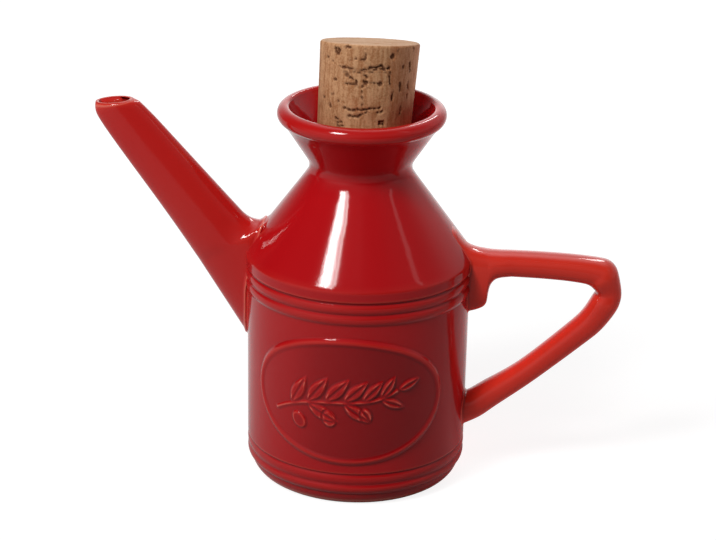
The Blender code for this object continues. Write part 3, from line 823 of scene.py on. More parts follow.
def mark_glaze(piece, field_shade=0.0, seam_highlight=None):
    """Stores how far the glaze thins: 1 on sharp ridges, -1 in grooves, 0 on plain walls, with painted
    shade on the oval's field, painted light at the foot's end and a painted highlight on the spout's
    bead stored the same way.
    """
    mesh = piece.data
    count = len(mesh.vertices)
    places = np.empty(count * 3)
    normals = np.empty(count * 3)
    edges = np.empty(len(mesh.edges) * 2, dtype=np.int32)
    mesh.vertices.foreach_get("co", places)
    mesh.vertex_normals.foreach_get("vector", normals)
    mesh.edges.foreach_get("vertices", edges)
    places, normals = places.reshape(-1, 3), normals.reshape(-1, 3)
    both_ways = ((edges[::2], edges[1::2]), (edges[1::2], edges[::2]))
    bend = np.zeros(count)
    ends = np.zeros(count)
    for near, far in both_ways:
        step = places[near] - places[far]
        along = (step ** 2).sum(axis=1) + 1e-12
        np.add.at(bend, near, (step * normals[near]).sum(axis=1) / along)
        np.add.at(ends, near, 1)
    bend = 2 * bend / np.maximum(ends, 1)
    for _ in range(2):
        total = bend.copy()
        for near, far in both_ways:
            np.add.at(total, near, bend[far])
        bend = total / (ends + 1)
    thinning_and_light = np.clip((np.abs(bend) - EDGE_BEND) / EDGE_BEND_RANGE, 0, 1) * np.sign(bend)
    if field_shade:
        field = np.empty(count)
        mesh.attributes["field"].data.foreach_get("value", field)
        # Painted shade on the oval's field, darker towards its right half, where less light falls
        share = np.interp(places[:, 0], FIELD_SHADE_PLACES, FIELD_SHADE_SHARES)
        thinning_and_light -= field_shade * share * field * (1 - np.clip(3 * thinning_and_light, 0, 1))
        # The foot's end is painted paler: thinner glaze, and painted light in place of light from the
        # floor below
        thinning_and_light += FOOT_END_THIN_AND_LIGHT * np.clip(1.5 - places[:, 2] / (2 * MM), 0, 1)
    # Painted highlight along the spout's bead, stored as thinner glaze
    if seam_highlight is not None:
        thinning_and_light = np.maximum(thinning_and_light, SEAM_HIGHLIGHT_STRENGTH * seam_highlight)
    layer = mesh.attributes.new("glaze_thin", 'FLOAT', 'POINT')
    layer.data.foreach_set("value", thinning_and_light)


def new_material(name):
    """A material with its maker and its place on the object."""
    material = bpy.data.materials.new(name)
    material.use_nodes = True
    maker = TreeMaker(material.node_tree)
    return material, maker, maker.value("ShaderNodeTexCoord", output="Object")


def glaze_material(name, colours, extra_thinness_and_light=0.0):
    """Glossy glaze, paler where it thins over an edge and darker where it pools, with painted light and
    shade in the same colours: painted shade on the oval's field, painted light on the handle and the
    foot's end, and a painted highlight on the spout's bead.
    """
    material, maker, place = new_material(name)
    thinning_and_light = maker.value("ShaderNodeAttribute", output="Fac", attribute_name="glaze_thin")
    uneven = (maker.noise(place, *GLAZE_CLOUD) - 0.5) * GLAZE_UNEVENNESS
    # Extra paleness over a whole piece: thinner glaze, and on the handle painted light as well
    paler = maker.math('MAXIMUM', thinning_and_light, 0.0) + (uneven + extra_thinness_and_light)
    paler = maker.math('MULTIPLY', paler, GLAZE_THIN_AND_LIGHT_SHARE, clamp=True)
    colour = maker.blend(paler, colours.glaze, colours.glaze_thin)
    # Pale broken glaze on sharp ridges, which also gives the painted highlight on the spout's bead and
    # the painted light at the foot's end
    colour = maker.blend(maker.ramp(thinning_and_light, *GLAZE_BREAKS_AND_LIGHT), colour, colours.glaze_broken_and_light)
    # Darker where the glaze pools in grooves, and painted shade on the oval's field
    pooling_and_shade = maker.math('MINIMUM', thinning_and_light, 0.0)
    pooling_and_shade = maker.math('MULTIPLY', pooling_and_shade, -GLAZE_POOL_AND_SHADE_SHARE, clamp=True)
    colour = maker.blend(pooling_and_shade, colour, colours.glaze_pooled_and_shade)
    peel = maker.noise(place, *GLAZE_PEEL) * GLAZE_PEEL_SHARE
    height = maker.noise(place, *GLAZE_RIPPLE) + peel
    maker.surface(colour, height, GLAZE_RIPPLE_DEPTH, 1.0, {
        "Roughness": colours.glaze_roughness, "IOR": GLAZE_IOR,
        "Specular IOR Level": colours.glaze_gloss})
    return material


def biscuit_material(colours):
    """Bare fired clay of the foot ring."""
    material, maker, place = new_material("biscuit")
    grain = maker.noise(place, *CLAY_GRAIN)
    darker = [CLAY_SHADE * value for value in colours.biscuit]
    maker.surface(maker.blend(grain, darker, colours.biscuit), grain, CLAY_DEPTH, 1.0,
                  {"Roughness": CLAY_ROUGHNESS})
    return material


def cork_material(colours):
    """Natural cork: fine grain along the stopper, blotches, and dark pores."""
    material, maker, place = new_material("natural_cork")
    grain = maker.noise(maker.stretched(place, GRAIN_STRETCH), *CORK_GRAIN) * (1 - SPECKLE_SHARE)
    grain = maker.ramp(grain + maker.noise(place, *CORK_SPECKLE) * SPECKLE_SHARE, *GRAIN_STEP)
    blotch = maker.noise(place, *CORK_BLOTCH)
    colour = maker.blend(grain, colours.cork_dark, colours.cork_light)
    colour = maker.blend(maker.ramp(blotch, *BLOTCH_STEP), colour, colours.cork_warm)
    rough_x = maker.parts(place)[0] + blotch * BARK_SIDE_WAVER
    colour = maker.blend(maker.ramp(rough_x, *BARK_SIDE_STEP), colour, colours.cork_warm)
    facing_up = maker.parts(maker.value("ShaderNodeNewGeometry", output="Normal"))[2]
    streak = maker.noise(maker.stretched(place, STREAK_STRETCH), *CORK_STREAK)
    top = maker.blend(maker.ramp(streak, *STREAK_STEP), colours.cork_cut, colours.cork_warm)
    colour = maker.blend(maker.ramp(facing_up, *CUT_STEP), colour, top)
    pore = maker.value("ShaderNodeAttribute", output="Fac", attribute_name="pore")
    colour = maker.blend(maker.ramp(pore, *PORE_STEP), colour, colours.cork_pore)
    maker.surface(colour, grain, CORK_DEPTH, CORK_BUMP, {
        "Roughness": CORK_ROUGHNESS, "Specular IOR Level": CORK_GLOSS})
    return material


def colour_of(name, description, *default):
    return FloatVectorProperty(name=name, description=description, subtype='COLOR',
                               default=default, min=0.0, max=1.0)


def length_of(name, description, default, low, high):
    return FloatProperty(name=name, description=description, unit='LENGTH', default=default,
                         min=low, max=high, precision=5)


def angle_of(name, description, degrees):
    return FloatProperty(name=name, description=description, subtype='ANGLE',
                         default=math.radians(degrees))


def number_of(name, description, default, low, high, kind=FloatProperty):
    return kind(name=name, description=description, default=default, min=low, max=high)


class JugColours(bpy.types.PropertyGroup):
    """Colours and finishes"""
    glaze: colour_of("Glaze", "Colour of the glaze on plain walls", 0.50, 0.005, 0.008)
    # Colour of thinner glaze, also used for painted light on the handle and the foot's end
    glaze_thin: colour_of("Thin Glaze", "Colour where the glaze breaks", 0.85, 0.05, 0.025)
    # Colour of broken glaze on ridges, also used for the painted highlight on the spout's bead
    glaze_broken_and_light: colour_of("Broken Glaze", "Colour on sharp ridges", 0.85, 0.20, 0.14)
    # Colour of pooled glaze in grooves, also used for the painted shade on the oval's field
    glaze_pooled_and_shade: colour_of("Pooled Glaze", "Colour in the grooves", 0.20, 0.002, 0.004)
    glaze_roughness: number_of("Glaze Roughness", "How blurred reflections are", 0.09, 0.0, 1.0)
    glaze_gloss: number_of("Glaze Gloss", "Strength of the glaze's reflections", 0.5, 0.0, 1.0)
    biscuit: colour_of("Biscuit", "Colour of the bare fired clay", 0.62, 0.50, 0.38)
    cork_light: colour_of("Cork Light", "Lighter cork colour", 0.68, 0.37, 0.19)
    cork_dark: colour_of("Cork Dark", "Darker cork colour", 0.42, 0.175, 0.07)
    cork_warm: colour_of("Cork Blotches", "Colour of reddish blotches", 0.42, 0.13, 0.05)
    cork_cut: colour_of("Cork Top", "Colour of the cut top", 0.88, 0.58, 0.38)
    cork_pore: colour_of("Cork Pores", "Colour inside the pores", 0.11, 0.035, 0.014)


class JugBody(bpy.types.PropertyGroup):
    """Sizes of the body"""
    wall: length_of("Wall", "Thickness of the cast wall", 0.0032, 0.001, 0.01)
    shoulder_ribs: number_of("Shoulder Ribs", "Ribs under the cone", 2, 0, 8, IntProperty)
    foot_rise: length_of("Foot Rib Rise", "Height of the foot's ribs", 0.0010, 0.0, 0.003)
    softness: length_of("Glaze Softness", "How far the glaze rounds an edge", 0.00022, 0.00005, 0.001)


class JugPlaque(bpy.types.PropertyGroup):
    """Sizes of the raised oval and its sprig"""
    half_width: length_of("Half Width", "Half the oval's width along the wall", 0.0359, 0.01, 0.05)
    half_height: length_of("Half Height", "Half the oval's height", 0.0228, 0.005, 0.027)
    centre_height: length_of("Centre Height", "Height of the oval's centre", 0.0414, 0.02, 0.06)
    tilt: angle_of("Tilt", "Turn of the oval on the wall", -1.3)
    line_rise: length_of("Line Rise", "Height of the line round the oval", 0.0009, 0.0, 0.002)
    field_rise: length_of("Field Rise", "Height of the field inside the line", 0.0005, 0.0, 0.001)
    sprig_rise: length_of("Sprig Rise", "Height of the sprig on the field", 0.0006, 0.0, 0.001)
    leaves: number_of("Leaf Steps", "Places along the stem that carry leaves", 8, 3, 30, IntProperty)


class JugSpout(bpy.types.PropertyGroup):
    """Sizes of the joints between the wall, the spout and the handle"""
    seam_rise: length_of("Seam Rise", "Height of the slip bead at the root", 0.0007, 0.0, 0.003)
    seam_place: length_of("Seam Place", "Distance of the bead from the wall", 0.0019, 0.0, 0.006)
    fillet: length_of("Root Fillet", "Radius of glaze between root and wall", 0.0010, 0.0002, 0.004)


class JugCork(bpy.types.PropertyGroup):
    """Sizes of the cork's bark"""
    pore_depth: length_of("Pore Depth", "Depth of the deepest pores", 0.0007, 0.0, 0.002)
    crack_width: length_of("Crack Width", "Half width of the long cracks", 0.00032, 0.0001, 0.002)
    pore_scale: number_of("Pore Scale", "Pores to the metre", 330.0, 50.0, 2000.0)


class JugStudio(bpy.types.PropertyGroup):
    """Camera and lights, whose power is in watts to a square metre"""
    azimuth: angle_of("Azimuth", "Camera's turn from the front", 5.3)
    elevation: angle_of("Elevation", "Camera's height above the horizon", 21.55)
    distance: length_of("Distance", "Camera's distance from the jug", 0.8797, 0.1, 5.0)
    roll: angle_of("Roll", "Camera's roll", -1.126)
    lens: number_of("Lens", "Focal length in millimetres", 122.16, 20.0, 300.0)
    key_power: number_of("Key Light", "Power of the window", 110.0, 0.0, 500.0)
    top_power: number_of("Top Light", "Power of the soft top light", 10.0, 0.0, 500.0)
    fill_power: number_of("Fill Light", "Power of the side light", 2.0, 0.0, 500.0)
    back_power: number_of("Back Window", "Power of the window reflected at the back", 30.0, 0.0, 500.0)
    sky: number_of("Sky", "Strength of the light from all round", 1.0, 0.0, 5.0)


def plaque_columns():
    """Angles of the body's columns from the front towards +X: close together on the oval."""
    low, high, fine_step, step = np.radians((-OVAL_HALF_ANGLE, OVAL_HALF_ANGLE, OVAL_ANGLE_STEP,
                                             BACK_ANGLE_STEP))
    coarse = span(high, math.radians(360 - OVAL_HALF_ANGLE), step)[1:-1]
    return np.r_[span(low, high, fine_step), coarse]


def body_rows(settings):
    """The body's profile as rows: up the inside, over the rim, down the outside, in below."""
    inside = inside_points(settings.wall)
    rim = [bead_point(angle) for angle in span(BEAD_INNER_ANGLE, BEAD_CREASE_ANGLE,
                                               math.degrees(RIM_STEP / BEAD_RADIUS))]
    ring = BASE_RADIUS - FOOT_RING_WIDTH
    below = [(BASE_RADIUS - BASE_EDGE, 0.0), (ring, 0.0),
             (ring - RECESS_SLOPE, RECESS_DEPTH), (0.0, RECESS_DEPTH)]
    plaque = bpy.context.scene.jug_plaque
    low = plaque.centre_height - plaque.half_height - 3 * MM
    high = plaque.centre_height + plaque.half_height + 3 * MM

    def spacing(point):
        on_ribs = BAND_BOTTOM - 2 * MM < point[1] < SHOULDER_CORNER[1]
        fine = low < point[1] < high or on_ribs or point[1] < FOOT_HEIGHT + 2 * MM
        return BODY_FINE_STEP if fine else BODY_STEP

    inner = thin_out(soften(inside, LINE_SPACING, LINE_SOFTNESS), lambda point: 6 * MM,
                     math.radians(7))
    outer = thin_out(soften(rim + outside_points() + below[:1], OUTLINE_SPACING,
                            settings.softness), spacing, math.radians(6))
    under = thin_out(soften(below, LINE_SPACING, LINE_SOFTNESS), lambda point: 8 * MM,
                     math.radians(12))
    rows = np.concatenate([inner, outer, under[1:]])
    marks = np.r_[np.zeros(len(inner)), np.ones(len(outer)), np.zeros(len(under) - 1)]
    return rows, marks


def turned_body(name, rows, marks, angles):
    """A closed turned shell: the first and last rows are points on the axis."""
    sides = len(angles)
    ring = np.stack([np.sin(angles), -np.cos(angles)], axis=1)
    places = [(0.0, 0.0, rows[0][1])]
    outside = [0.0]
    for (radius, height), mark in zip(rows[1:-1], marks[1:-1]):
        places.extend(np.c_[ring * radius, np.full(sides, height)])
        outside.extend([mark] * sides)
    places.append((0.0, 0.0, rows[-1][1]))
    outside.append(0.0)
    faces = [tuple(1 + corner for corner in face) for face in grid_faces(len(rows) - 2, sides)]
    last = len(places) - 1
    for side in range(sides):
        other = (side + 1) % sides
        faces.append((0, 1 + side, 1 + other))
        faces.append((last - sides + side, last, last - sides + other))
    return new_piece(name, places, faces, {"outside": outside})


def make_leaf():
    """A flat pointed leaf along X, its two halves meeting at the midrib."""
    upper = []
    for step in range(1, LEAF_STEPS):
        share = step / LEAF_STEPS
        bulge = math.sin(math.pi * share ** LEAF_WIDEST) ** LEAF_FULLNESS
        upper.append((LEAF_LENGTH * share + LEAF_STALK, 0.0, LEAF_HALF_WIDTH * bulge))
    ends = [(LEAF_STALK, 0.0, 0.0), (LEAF_LENGTH + LEAF_STALK, 0.0, 0.0)]
    lower = [(x, y, -z) for x, y, z in upper]
    top = [0, 1] + list(range(LEAF_STEPS, 1, -1))
    bottom = [0] + list(range(LEAF_STEPS + 1, 2 * LEAF_STEPS)) + [1]
    return new_piece("leaf_outline", ends + upper + lower, [tuple(top), tuple(bottom)])


def make_fruit():
    """A flat oval fruit hanging from its stalk along X."""
    points = []
    for step in range(FRUIT_STEPS):
        turn = 2 * math.pi * step / FRUIT_STEPS
        points.append((FRUIT_PLACE + FRUIT_HALF_LENGTH * math.cos(turn), 0.0,
                       FRUIT_HALF_WIDTH * math.sin(turn)))
    return new_piece("fruit_outline", points, [tuple(range(FRUIT_STEPS))])


def make_stem(name):
    """The sprig's stem as a curve in the plane of the oval, measured from its centre."""
    curve = bpy.data.curves.new(name, 'CURVE')
    curve.dimensions = '3D'
    spline = curve.splines.new('BEZIER')
    spline.bezier_points.add(len(STEM_POINTS) - 1)
    for point, places in zip(spline.bezier_points, STEM_POINTS):
        centre, after = (Vector((x, 0.0, z)) * MM for x, z in places)
        point.co = centre
        point.handle_right = after
        point.handle_left = 2 * centre - after
    return new_object(name, curve)


def make_sprig():
    """The sprig's flat outlines, and its stem as a line, which the oval's tree reads."""
    leaf, fruit = make_leaf(), make_fruit()
    stem = make_stem("sprig_stem")
    line = new_object("stem_line", plain_mesh(stem))
    sprig = make_stem("sprig_outline")
    flat = new_object("sprig_flat", grown_mesh(sprig, sprig_tree(), {
        "Leaf": leaf, "Fruit": fruit, "Count": bpy.context.scene.jug_plaque.leaves,
        "Spread": LEAF_SPREAD, "Tip Scale": TIP_SCALE}))
    drop(leaf, fruit, stem, sprig)
    return flat, line


class JUG_OT_body(bpy.types.Operator):
    """Adds the glazed body with its ribs, rim and raised oval"""
    bl_idname = "oil_jug.body"
    bl_label = "Add Body"

    def execute(self, context):
        body, plaque = context.scene.jug_body, context.scene.jug_plaque
        colours = context.scene.jug_colours
        glaze = glaze_material("body_glaze", colours)
        rows, marks = body_rows(body)
        piece = turned_body("glazed_body", rows, marks, plaque_columns())
        tree = ribs_tree()
        grow(piece, tree, {"Top": BAND_BOTTOM + BAND_HEIGHT, "Bottom": BAND_BOTTOM,
                           "Count": float(body.shoulder_ribs), "Rise": BAND_RISE,
                           "Material": glaze})
        grooves = foot_grooves()
        for (_, top), (_, bottom), shares in zip(grooves, grooves[1:], FOOT_SHARES):
            grow(piece, tree, {"Top": top, "Bottom": bottom, "Count": 1.0,
                               "Rise": body.foot_rise * shares[2], "Material": glaze})
        sprig, stem = make_sprig()
        grow(piece, plaque_tree(), {
            "Wall Radius": WALL_TOP_RADIUS, "Half Width": plaque.half_width,
            "Half Height": plaque.half_height, "Centre Height": plaque.centre_height,
            "Tilt": plaque.tilt, "Line Outer Width": LINE_OUTER_WIDTH,
            "Line Inner Width": LINE_INNER_WIDTH, "Line Rise": plaque.line_rise,
            "Field Rise": plaque.field_rise, "Sprig Rise": plaque.sprig_rise, "Sprig": sprig,
            "Stem": stem, "Stem Width": STEM_WIDTH, "Softness": LEAF_SOFTNESS, "Material": glaze})
        drop(sprig, stem)
        # Painted shade on the oval's field and painted light at the foot's end go into this mark
        mark_glaze(piece, FIELD_PAINTED_SHADE)
        self.bare_foot(piece, colours)
        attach(piece, "jug")
        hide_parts("jug_body")
        return {'FINISHED'}

    @staticmethod
    def bare_foot(piece, colours):
        """The ring that the jug stands on is left unglazed."""
        piece.data.materials.append(biscuit_material(colours))
        for polygon in piece.data.polygons:
            centre = polygon.center
            radius = math.hypot(centre.x, centre.y)
            if centre.z < 0.12 * MM and radius > BASE_RADIUS - FOOT_RING_WIDTH - 0.2 * MM:
                polygon.material_index = 1


def oval_ring(low, high, half_width, squareness, sides):
    """An oval whose long axis joins two XZ points and whose short axis is Y."""
    low, high = np.array(low), np.array(high)
    turns = 2 * np.pi * np.arange(sides) / sides
    along = np.sign(np.cos(turns)) * np.abs(np.cos(turns)) ** (2 / squareness)
    across = np.sign(np.sin(turns)) * np.abs(np.sin(turns)) ** (2 / squareness)
    middle, reach = (low + high) / 2, (high - low) / 2
    return np.stack([middle[0] + reach[0] * along, half_width * across,
                     middle[1] + reach[1] * along], axis=1)


def smooth_path(points, steps):
    """Points of a smooth line through the given ones, all their numbers alike."""
    points = np.array(points, dtype=float)
    ends = np.concatenate([points[:1], points, points[-1:]])
    path = []
    for index in range(len(points) - 1):
        a, b, c, d = ends[index:index + 4]
        for step in range(steps):
            t = step / steps
            path.append((2 * b + (c - a) * t + (2 * a - 5 * b + 4 * c - d) * t ** 2
                         + (3 * b - a - 3 * c + d) * t ** 3) / 2)
    path.append(points[-1])
    return np.array(path)


def seat_on_body(rings, spacing, flare):
    """Trims a loft's first rings at the body's surface and flares them on to it.

    rings run from inside the body outwards. Each side's line is cut where it leaves the
    body, and set out again from there, first in fine steps for the seam and then in even ones.
    """
    rings = np.array(rings)
    lines = []
    for side in range(rings.shape[1]):
        line = rings[:, side]
        gap = off_body(line)
        first = int(np.argmax(gap > 0))
        share = gap[first - 1] / (gap[first - 1] - gap[first])
        start = line[first - 1] + (line[first] - line[first - 1]) * share
        lines.append(np.concatenate([start[None], line[first:]]))
    ends = [path_lengths(line)[-1] for line in lines]
    count = max(4, int(max(ends) / spacing))
    rows = [set_out(line, np.r_[SEAM_STEPS, np.linspace(SEAM_STEPS[-1], end, count + 1)[1:]])
            for line, end in zip(lines, ends)]
    rows = np.array(rows).transpose(1, 0, 2)
    for row, distance in zip(rows, SEAM_STEPS):
        outward = row - row.mean(axis=0)
        outward /= np.linalg.norm(outward, axis=1)[:, None]
        gap = off_body(row)
        row += outward * flare(max(distance, 0.0))
        radius = np.hypot(row[:, 0], row[:, 1])
        row[:, :2] *= ((outer_radius_at(row[:, 2]) + gap) / radius)[:, None]
    return rows


def fillet_flare(fillet, distance):
    """How far a round fillet stands out at a distance from the wall."""
    if distance >= fillet:
        return 0.0
    rest = fillet - distance
    return fillet - math.sqrt(max(fillet ** 2 - rest ** 2, 0.0))


def seam_flare(settings):
    """How far the seam stands out at a distance from the wall: a fillet, then a round bead."""
    def flare(distance):
        out = fillet_flare(settings.fillet, distance)
        off = (distance - settings.seam_place) / SEAM_HALF_WIDTH
        if abs(off) < 1:
            out += settings.seam_rise * math.cos(off * math.pi / 2) ** SEAM_ROUNDNESS
        return out
    return flare


def lofted(name, rows, is_tube):
    """A skin over rows of points, closed at both ends, or joined end to end."""
    count, sides = rows.shape[0], rows.shape[1]
    places = rows.reshape(-1, 3).tolist()
    faces = grid_faces(count, sides, is_tube)
    if not is_tube:
        faces.append(tuple(range(sides)))
        faces.append(tuple(range((count - 1) * sides, count * sides))[::-1])
    return new_piece(name, places, faces)


def point_outwards(piece):
    """Turns a closed shell's faces outwards, going by the sign of its volume."""
    mesh = piece.data
    mesh.calc_loop_triangles()
    volume = 0.0
    for triangle in mesh.loop_triangles:
        a, b, c = (mesh.vertices[index].co for index in triangle.vertices)
        volume += a.dot(b.cross(c))
    if volume < 0:
        mesh.flip_normals()


def spout_edges():
    """Lower and upper edge points of the spout's sections, root to mouth, as a smooth path."""
    reach = -SPOUT_LOW[0]
    length = SPOUT_MOUTH_LENGTH
    low_tip = np.array((-reach, SPOUT_HIGH[2]))
    high_tip = low_tip + (length, 0.0)
    tip = []
    for low_in, low_down, high_out, high_down in TIP_SHARES:
        tip.append((*(low_tip + (length * low_in, -length * low_down)),
                    *(high_tip + (length * high_out, -length * high_down))))
    low_root = np.array((-WALL_TOP_RADIUS, SPOUT_LOW_HEIGHT))
    high_root = np.array((-WALL_TOP_RADIUS, SPOUT_HIGH_HEIGHT))
    low_end, high_end = np.array(tip[0][:2]), np.array(tip[0][2:])
    low = low_root - (low_end - low_root) / np.linalg.norm(low_end - low_root) * ROOT_SINK
    climb = high_root - high_end
    square = np.array((math.sin(math.radians(SPOUT_LEAN)), math.cos(math.radians(SPOUT_LEAN))))
    high = high_root + climb * (cross(low - high_root, square) / cross(climb, square))
    above = np.array((climb[1], -climb[0])) / np.linalg.norm(climb)
    above *= math.copysign(1.0, above[1])
    neck = np.array((-NECK_RADIUS, NECK_HEIGHT))
    cone = np.array((-SHOULDER_CORNER[0], SHOULDER_CORNER[1])) - neck
    line = high_end - high
    near = cross(neck - high, cone) / cross(line, cone) + SPOUT_FILLET_START / np.linalg.norm(line)
    root = SPOUT_FILLET_REACH / np.linalg.norm(line)
    straight = []
    for way in np.r_[0.0, span(near, near + root, root / SPOUT_FILLET_ROWS),
                     np.linspace(near + root, 1, SPOUT_ROWS)[1:-1]]:
        bow = (4 * way * (1 - way)) ** 2
        short = max(0.0, 1 - (way - near) / root) if way > 0 else 0.0
        rise = SPOUT_FILLET_RISE * (1 - math.sqrt(max(0.0, 1 - short ** 2)))
        straight.append(np.r_[low + (low_end - low) * way + above * SPOUT_UNDER_HOLLOW * bow,
                              high + line * way + above * (rise - SPOUT_TOP_HOLLOW * bow)])
    return np.concatenate([straight, smooth_path(tip, PATH_STEPS)])


class JUG_OT_spout(bpy.types.Operator):
    """Adds the hollow spout with its lip and the slip bead at its root"""
    bl_idname = "oil_jug.spout"
    bl_label = "Add Spout"

    def execute(self, context):
        edges = spout_edges()
        start = edges[0, :2]
        reach = np.linalg.norm(edges[-1, :2] - start)
        outer, inner = [], []
        for edge in edges:
            low, high = edge[:2], edge[2:]
            share = min(1.0, np.linalg.norm(low - start) / reach)
            half_width = (SPOUT_ROOT_WIDTH + (SPOUT_MOUTH_WIDTH - SPOUT_ROOT_WIDTH) * share) / 2
            wall = SPOUT_WALL + (SPOUT_LIP - SPOUT_WALL) * share
            inward = (high - low) / np.linalg.norm(high - low) * wall
            outer.append(oval_ring(low, high, half_width, 2, SPOUT_SIDES))
            inner.append(oval_ring(low + inward, high - inward, half_width - wall, 2, SPOUT_SIDES))
        settings = context.scene.jug_spout
        outer = seat_on_body(outer, SPOUT_STEP, seam_flare(settings))
        inner = seat_on_body(inner, SPOUT_BORE_STEP, lambda distance: 0.0)
        lip = self.lip_rows(outer[-1], inner[-1])
        rows = np.concatenate([outer, lip, inner[::-1]])
        piece = lofted("glazed_spout", rows, True)
        point_outwards(piece)
        glaze = glaze_material("spout_glaze", context.scene.jug_colours, SPOUT_THINNESS)
        piece.data.materials.append(glaze)
        # A painted highlight along the spout's bead, stored as thinner glaze
        seam_highlight = np.zeros((len(rows), SPOUT_SIDES))
        off_bead = np.abs(SEAM_STEPS - settings.seam_place) / SEAM_HIGHLIGHT_REACH
        seam_highlight[:len(SEAM_STEPS)] = np.clip(1 - off_bead, 0, 1)[:, None]
        mark_glaze(piece, seam_highlight=seam_highlight.ravel())
        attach(piece, "jug")
        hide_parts("spout")
        return {'FINISHED'}

    @staticmethod
    def lip_rows(outer, inner):
        """Rows that round the lip over from the outer to the inner wall."""
        rows = []
        half = np.linalg.norm(outer - inner, axis=1)[:, None] / 2
        for angle in np.linspace(0, math.pi, SPOUT_LIP_ROWS)[1:-1]:
            middle = outer + (inner - outer) * (1 - math.cos(angle)) / 2
            rise = half * (SPOUT_LIP_ROUNDNESS * math.sin(angle))
            rows.append(middle + np.array((0, 0, 1.0)) * rise)
        rows = np.array(rows)
        rows[:, :, 2] -= rows[:, :, 2].max() - outer[:, 2].max()
        return rows


def first_crossing(line):
    """Where a line in the XZ plane first crosses itself: both its steps and the point."""
    places, steps = line[:-1, (0, 2)], np.diff(line[:, (0, 2)], axis=0)
    apart = places[None, :] - places[:, None]
    turn = cross(steps[:, None], steps[None, :])
    turn[np.abs(turn) < 1e-18] = 1e-18
    near = cross(apart, steps[None, :]) / turn
    far = cross(apart, steps[:, None]) / turn
    hits = (near >= 0) & (near < 1) & (far >= 0) & (far < 1)
    found = np.argwhere(np.triu(hits, 2))
    if not len(found):
        return None
    start = found[:, 0].min()
    end = found[found[:, 0] == start][:, 1].max()
    return start, end, line[start] + (line[start + 1] - line[start]) * near[start, end]


def open_inner_corner(rings):
    """Cuts the loops that lines make inside a tight bend, and sets their points out evenly."""
    reach = rings.mean(axis=1)[:, 0]
    corner = np.flatnonzero(reach > CORNER_START * reach.max())
    low, high = corner[0], corner[-1]
    for side in range(rings.shape[1]):
        line = rings[low:high + 1, side]
        crossing = first_crossing(line)
        if crossing:
            start, end, point = crossing
            line = np.concatenate([line[:start + 1], point[None], line[end + 1:]])
        even = np.linspace(0, path_lengths(line)[-1], high - low + 1)
        rings[low:high + 1, side] = set_out(line, even)
    turns = 2 * np.pi * np.arange(rings.shape[1]) / rings.shape[1]
    inner = ((1 - np.cos(turns)) / 2)[None, :, None] ** 2
    for _ in range(CORNER_PASSES):
        middle = rings[low:high + 1]
        softer = (middle[:-2] + 2 * middle[1:-1] + middle[2:]) / 4
        rings[low + 1:high] = middle[1:-1] + (softer - middle[1:-1]) * inner
    return rings


def handle_rings(sides):
    """The handle's sections from the arm's bracket round the corner to the leg's foot."""
    rings = []
    top = HANDLE_ARM_HEIGHT + HANDLE_THICKNESS / 2
    bottom = HANDLE_ARM_HEIGHT - HANDLE_THICKNESS / 2
    for out, drop, flare in smooth_path(BRACKET_SHARES, BRACKET_STEPS):
        reach = WALL_TOP_RADIUS + BRACKET_REACH * out
        squareness = HANDLE_SQUARENESS + (BRACKET_SQUARENESS - HANDLE_SQUARENESS) * drop
        rings.append(oval_ring((reach, bottom - BRACKET_DROP * drop),
                               (reach, top + BRACKET_FLARE * flare), HANDLE_WIDTH / 2,
                               squareness, sides))
    outermost = HANDLE_HIGH[0] - HANDLE_THICKNESS / 2
    points = []
    for out, up, thick in HANDLE_SHARES:
        points.append((WALL_TOP_RADIUS + (outermost - WALL_TOP_RADIUS) * out,
                       HANDLE_LEG_HEIGHT + (HANDLE_ARM_HEIGHT - HANDLE_LEG_HEIGHT) * up,
                       HANDLE_THICKNESS * thick))
    path = smooth_path(points, PATH_STEPS)
    for index, (x, z, thick) in enumerate(path):
        near, far = path[max(index - 1, 0)], path[min(index + 1, len(path) - 1)]
        outward = np.array((near[1] - far[1], far[0] - near[0]))
        outward *= thick / 2 / np.linalg.norm(outward)
        rings.append(oval_ring((x, z) - outward, (x, z) + outward,
                               HANDLE_WIDTH / HANDLE_THICKNESS * thick / 2,
                               HANDLE_SQUARENESS, sides))
    return open_inner_corner(np.array(rings))


class JUG_OT_handle(bpy.types.Operator):
    """Adds the handle, seated on the wall at both ends"""
    bl_idname = "oil_jug.handle"
    bl_label = "Add Handle"

    def execute(self, context):
        fillet = context.scene.jug_spout.fillet
        rings = handle_rings(HANDLE_SIDES)
        middle = len(rings) // 2
        arm, leg = (seat_on_body(half, HANDLE_STEP, lambda distance: fillet_flare(fillet, distance))
                    for half in (rings[:middle], rings[:middle - 1:-1]))
        piece = lofted("glazed_handle", np.concatenate([arm, leg[::-1]]), False)
        point_outwards(piece)
        # The handle is painted paler all over: thinner glaze, and painted light that it gets more of
        # than the body
        glaze = glaze_material("handle_glaze", context.scene.jug_colours, HANDLE_THINNESS_AND_LIGHT)
        piece.data.materials.append(glaze)
        mark_glaze(piece)
        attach(piece, "jug")
        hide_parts("handle")
        return {'FINISHED'}


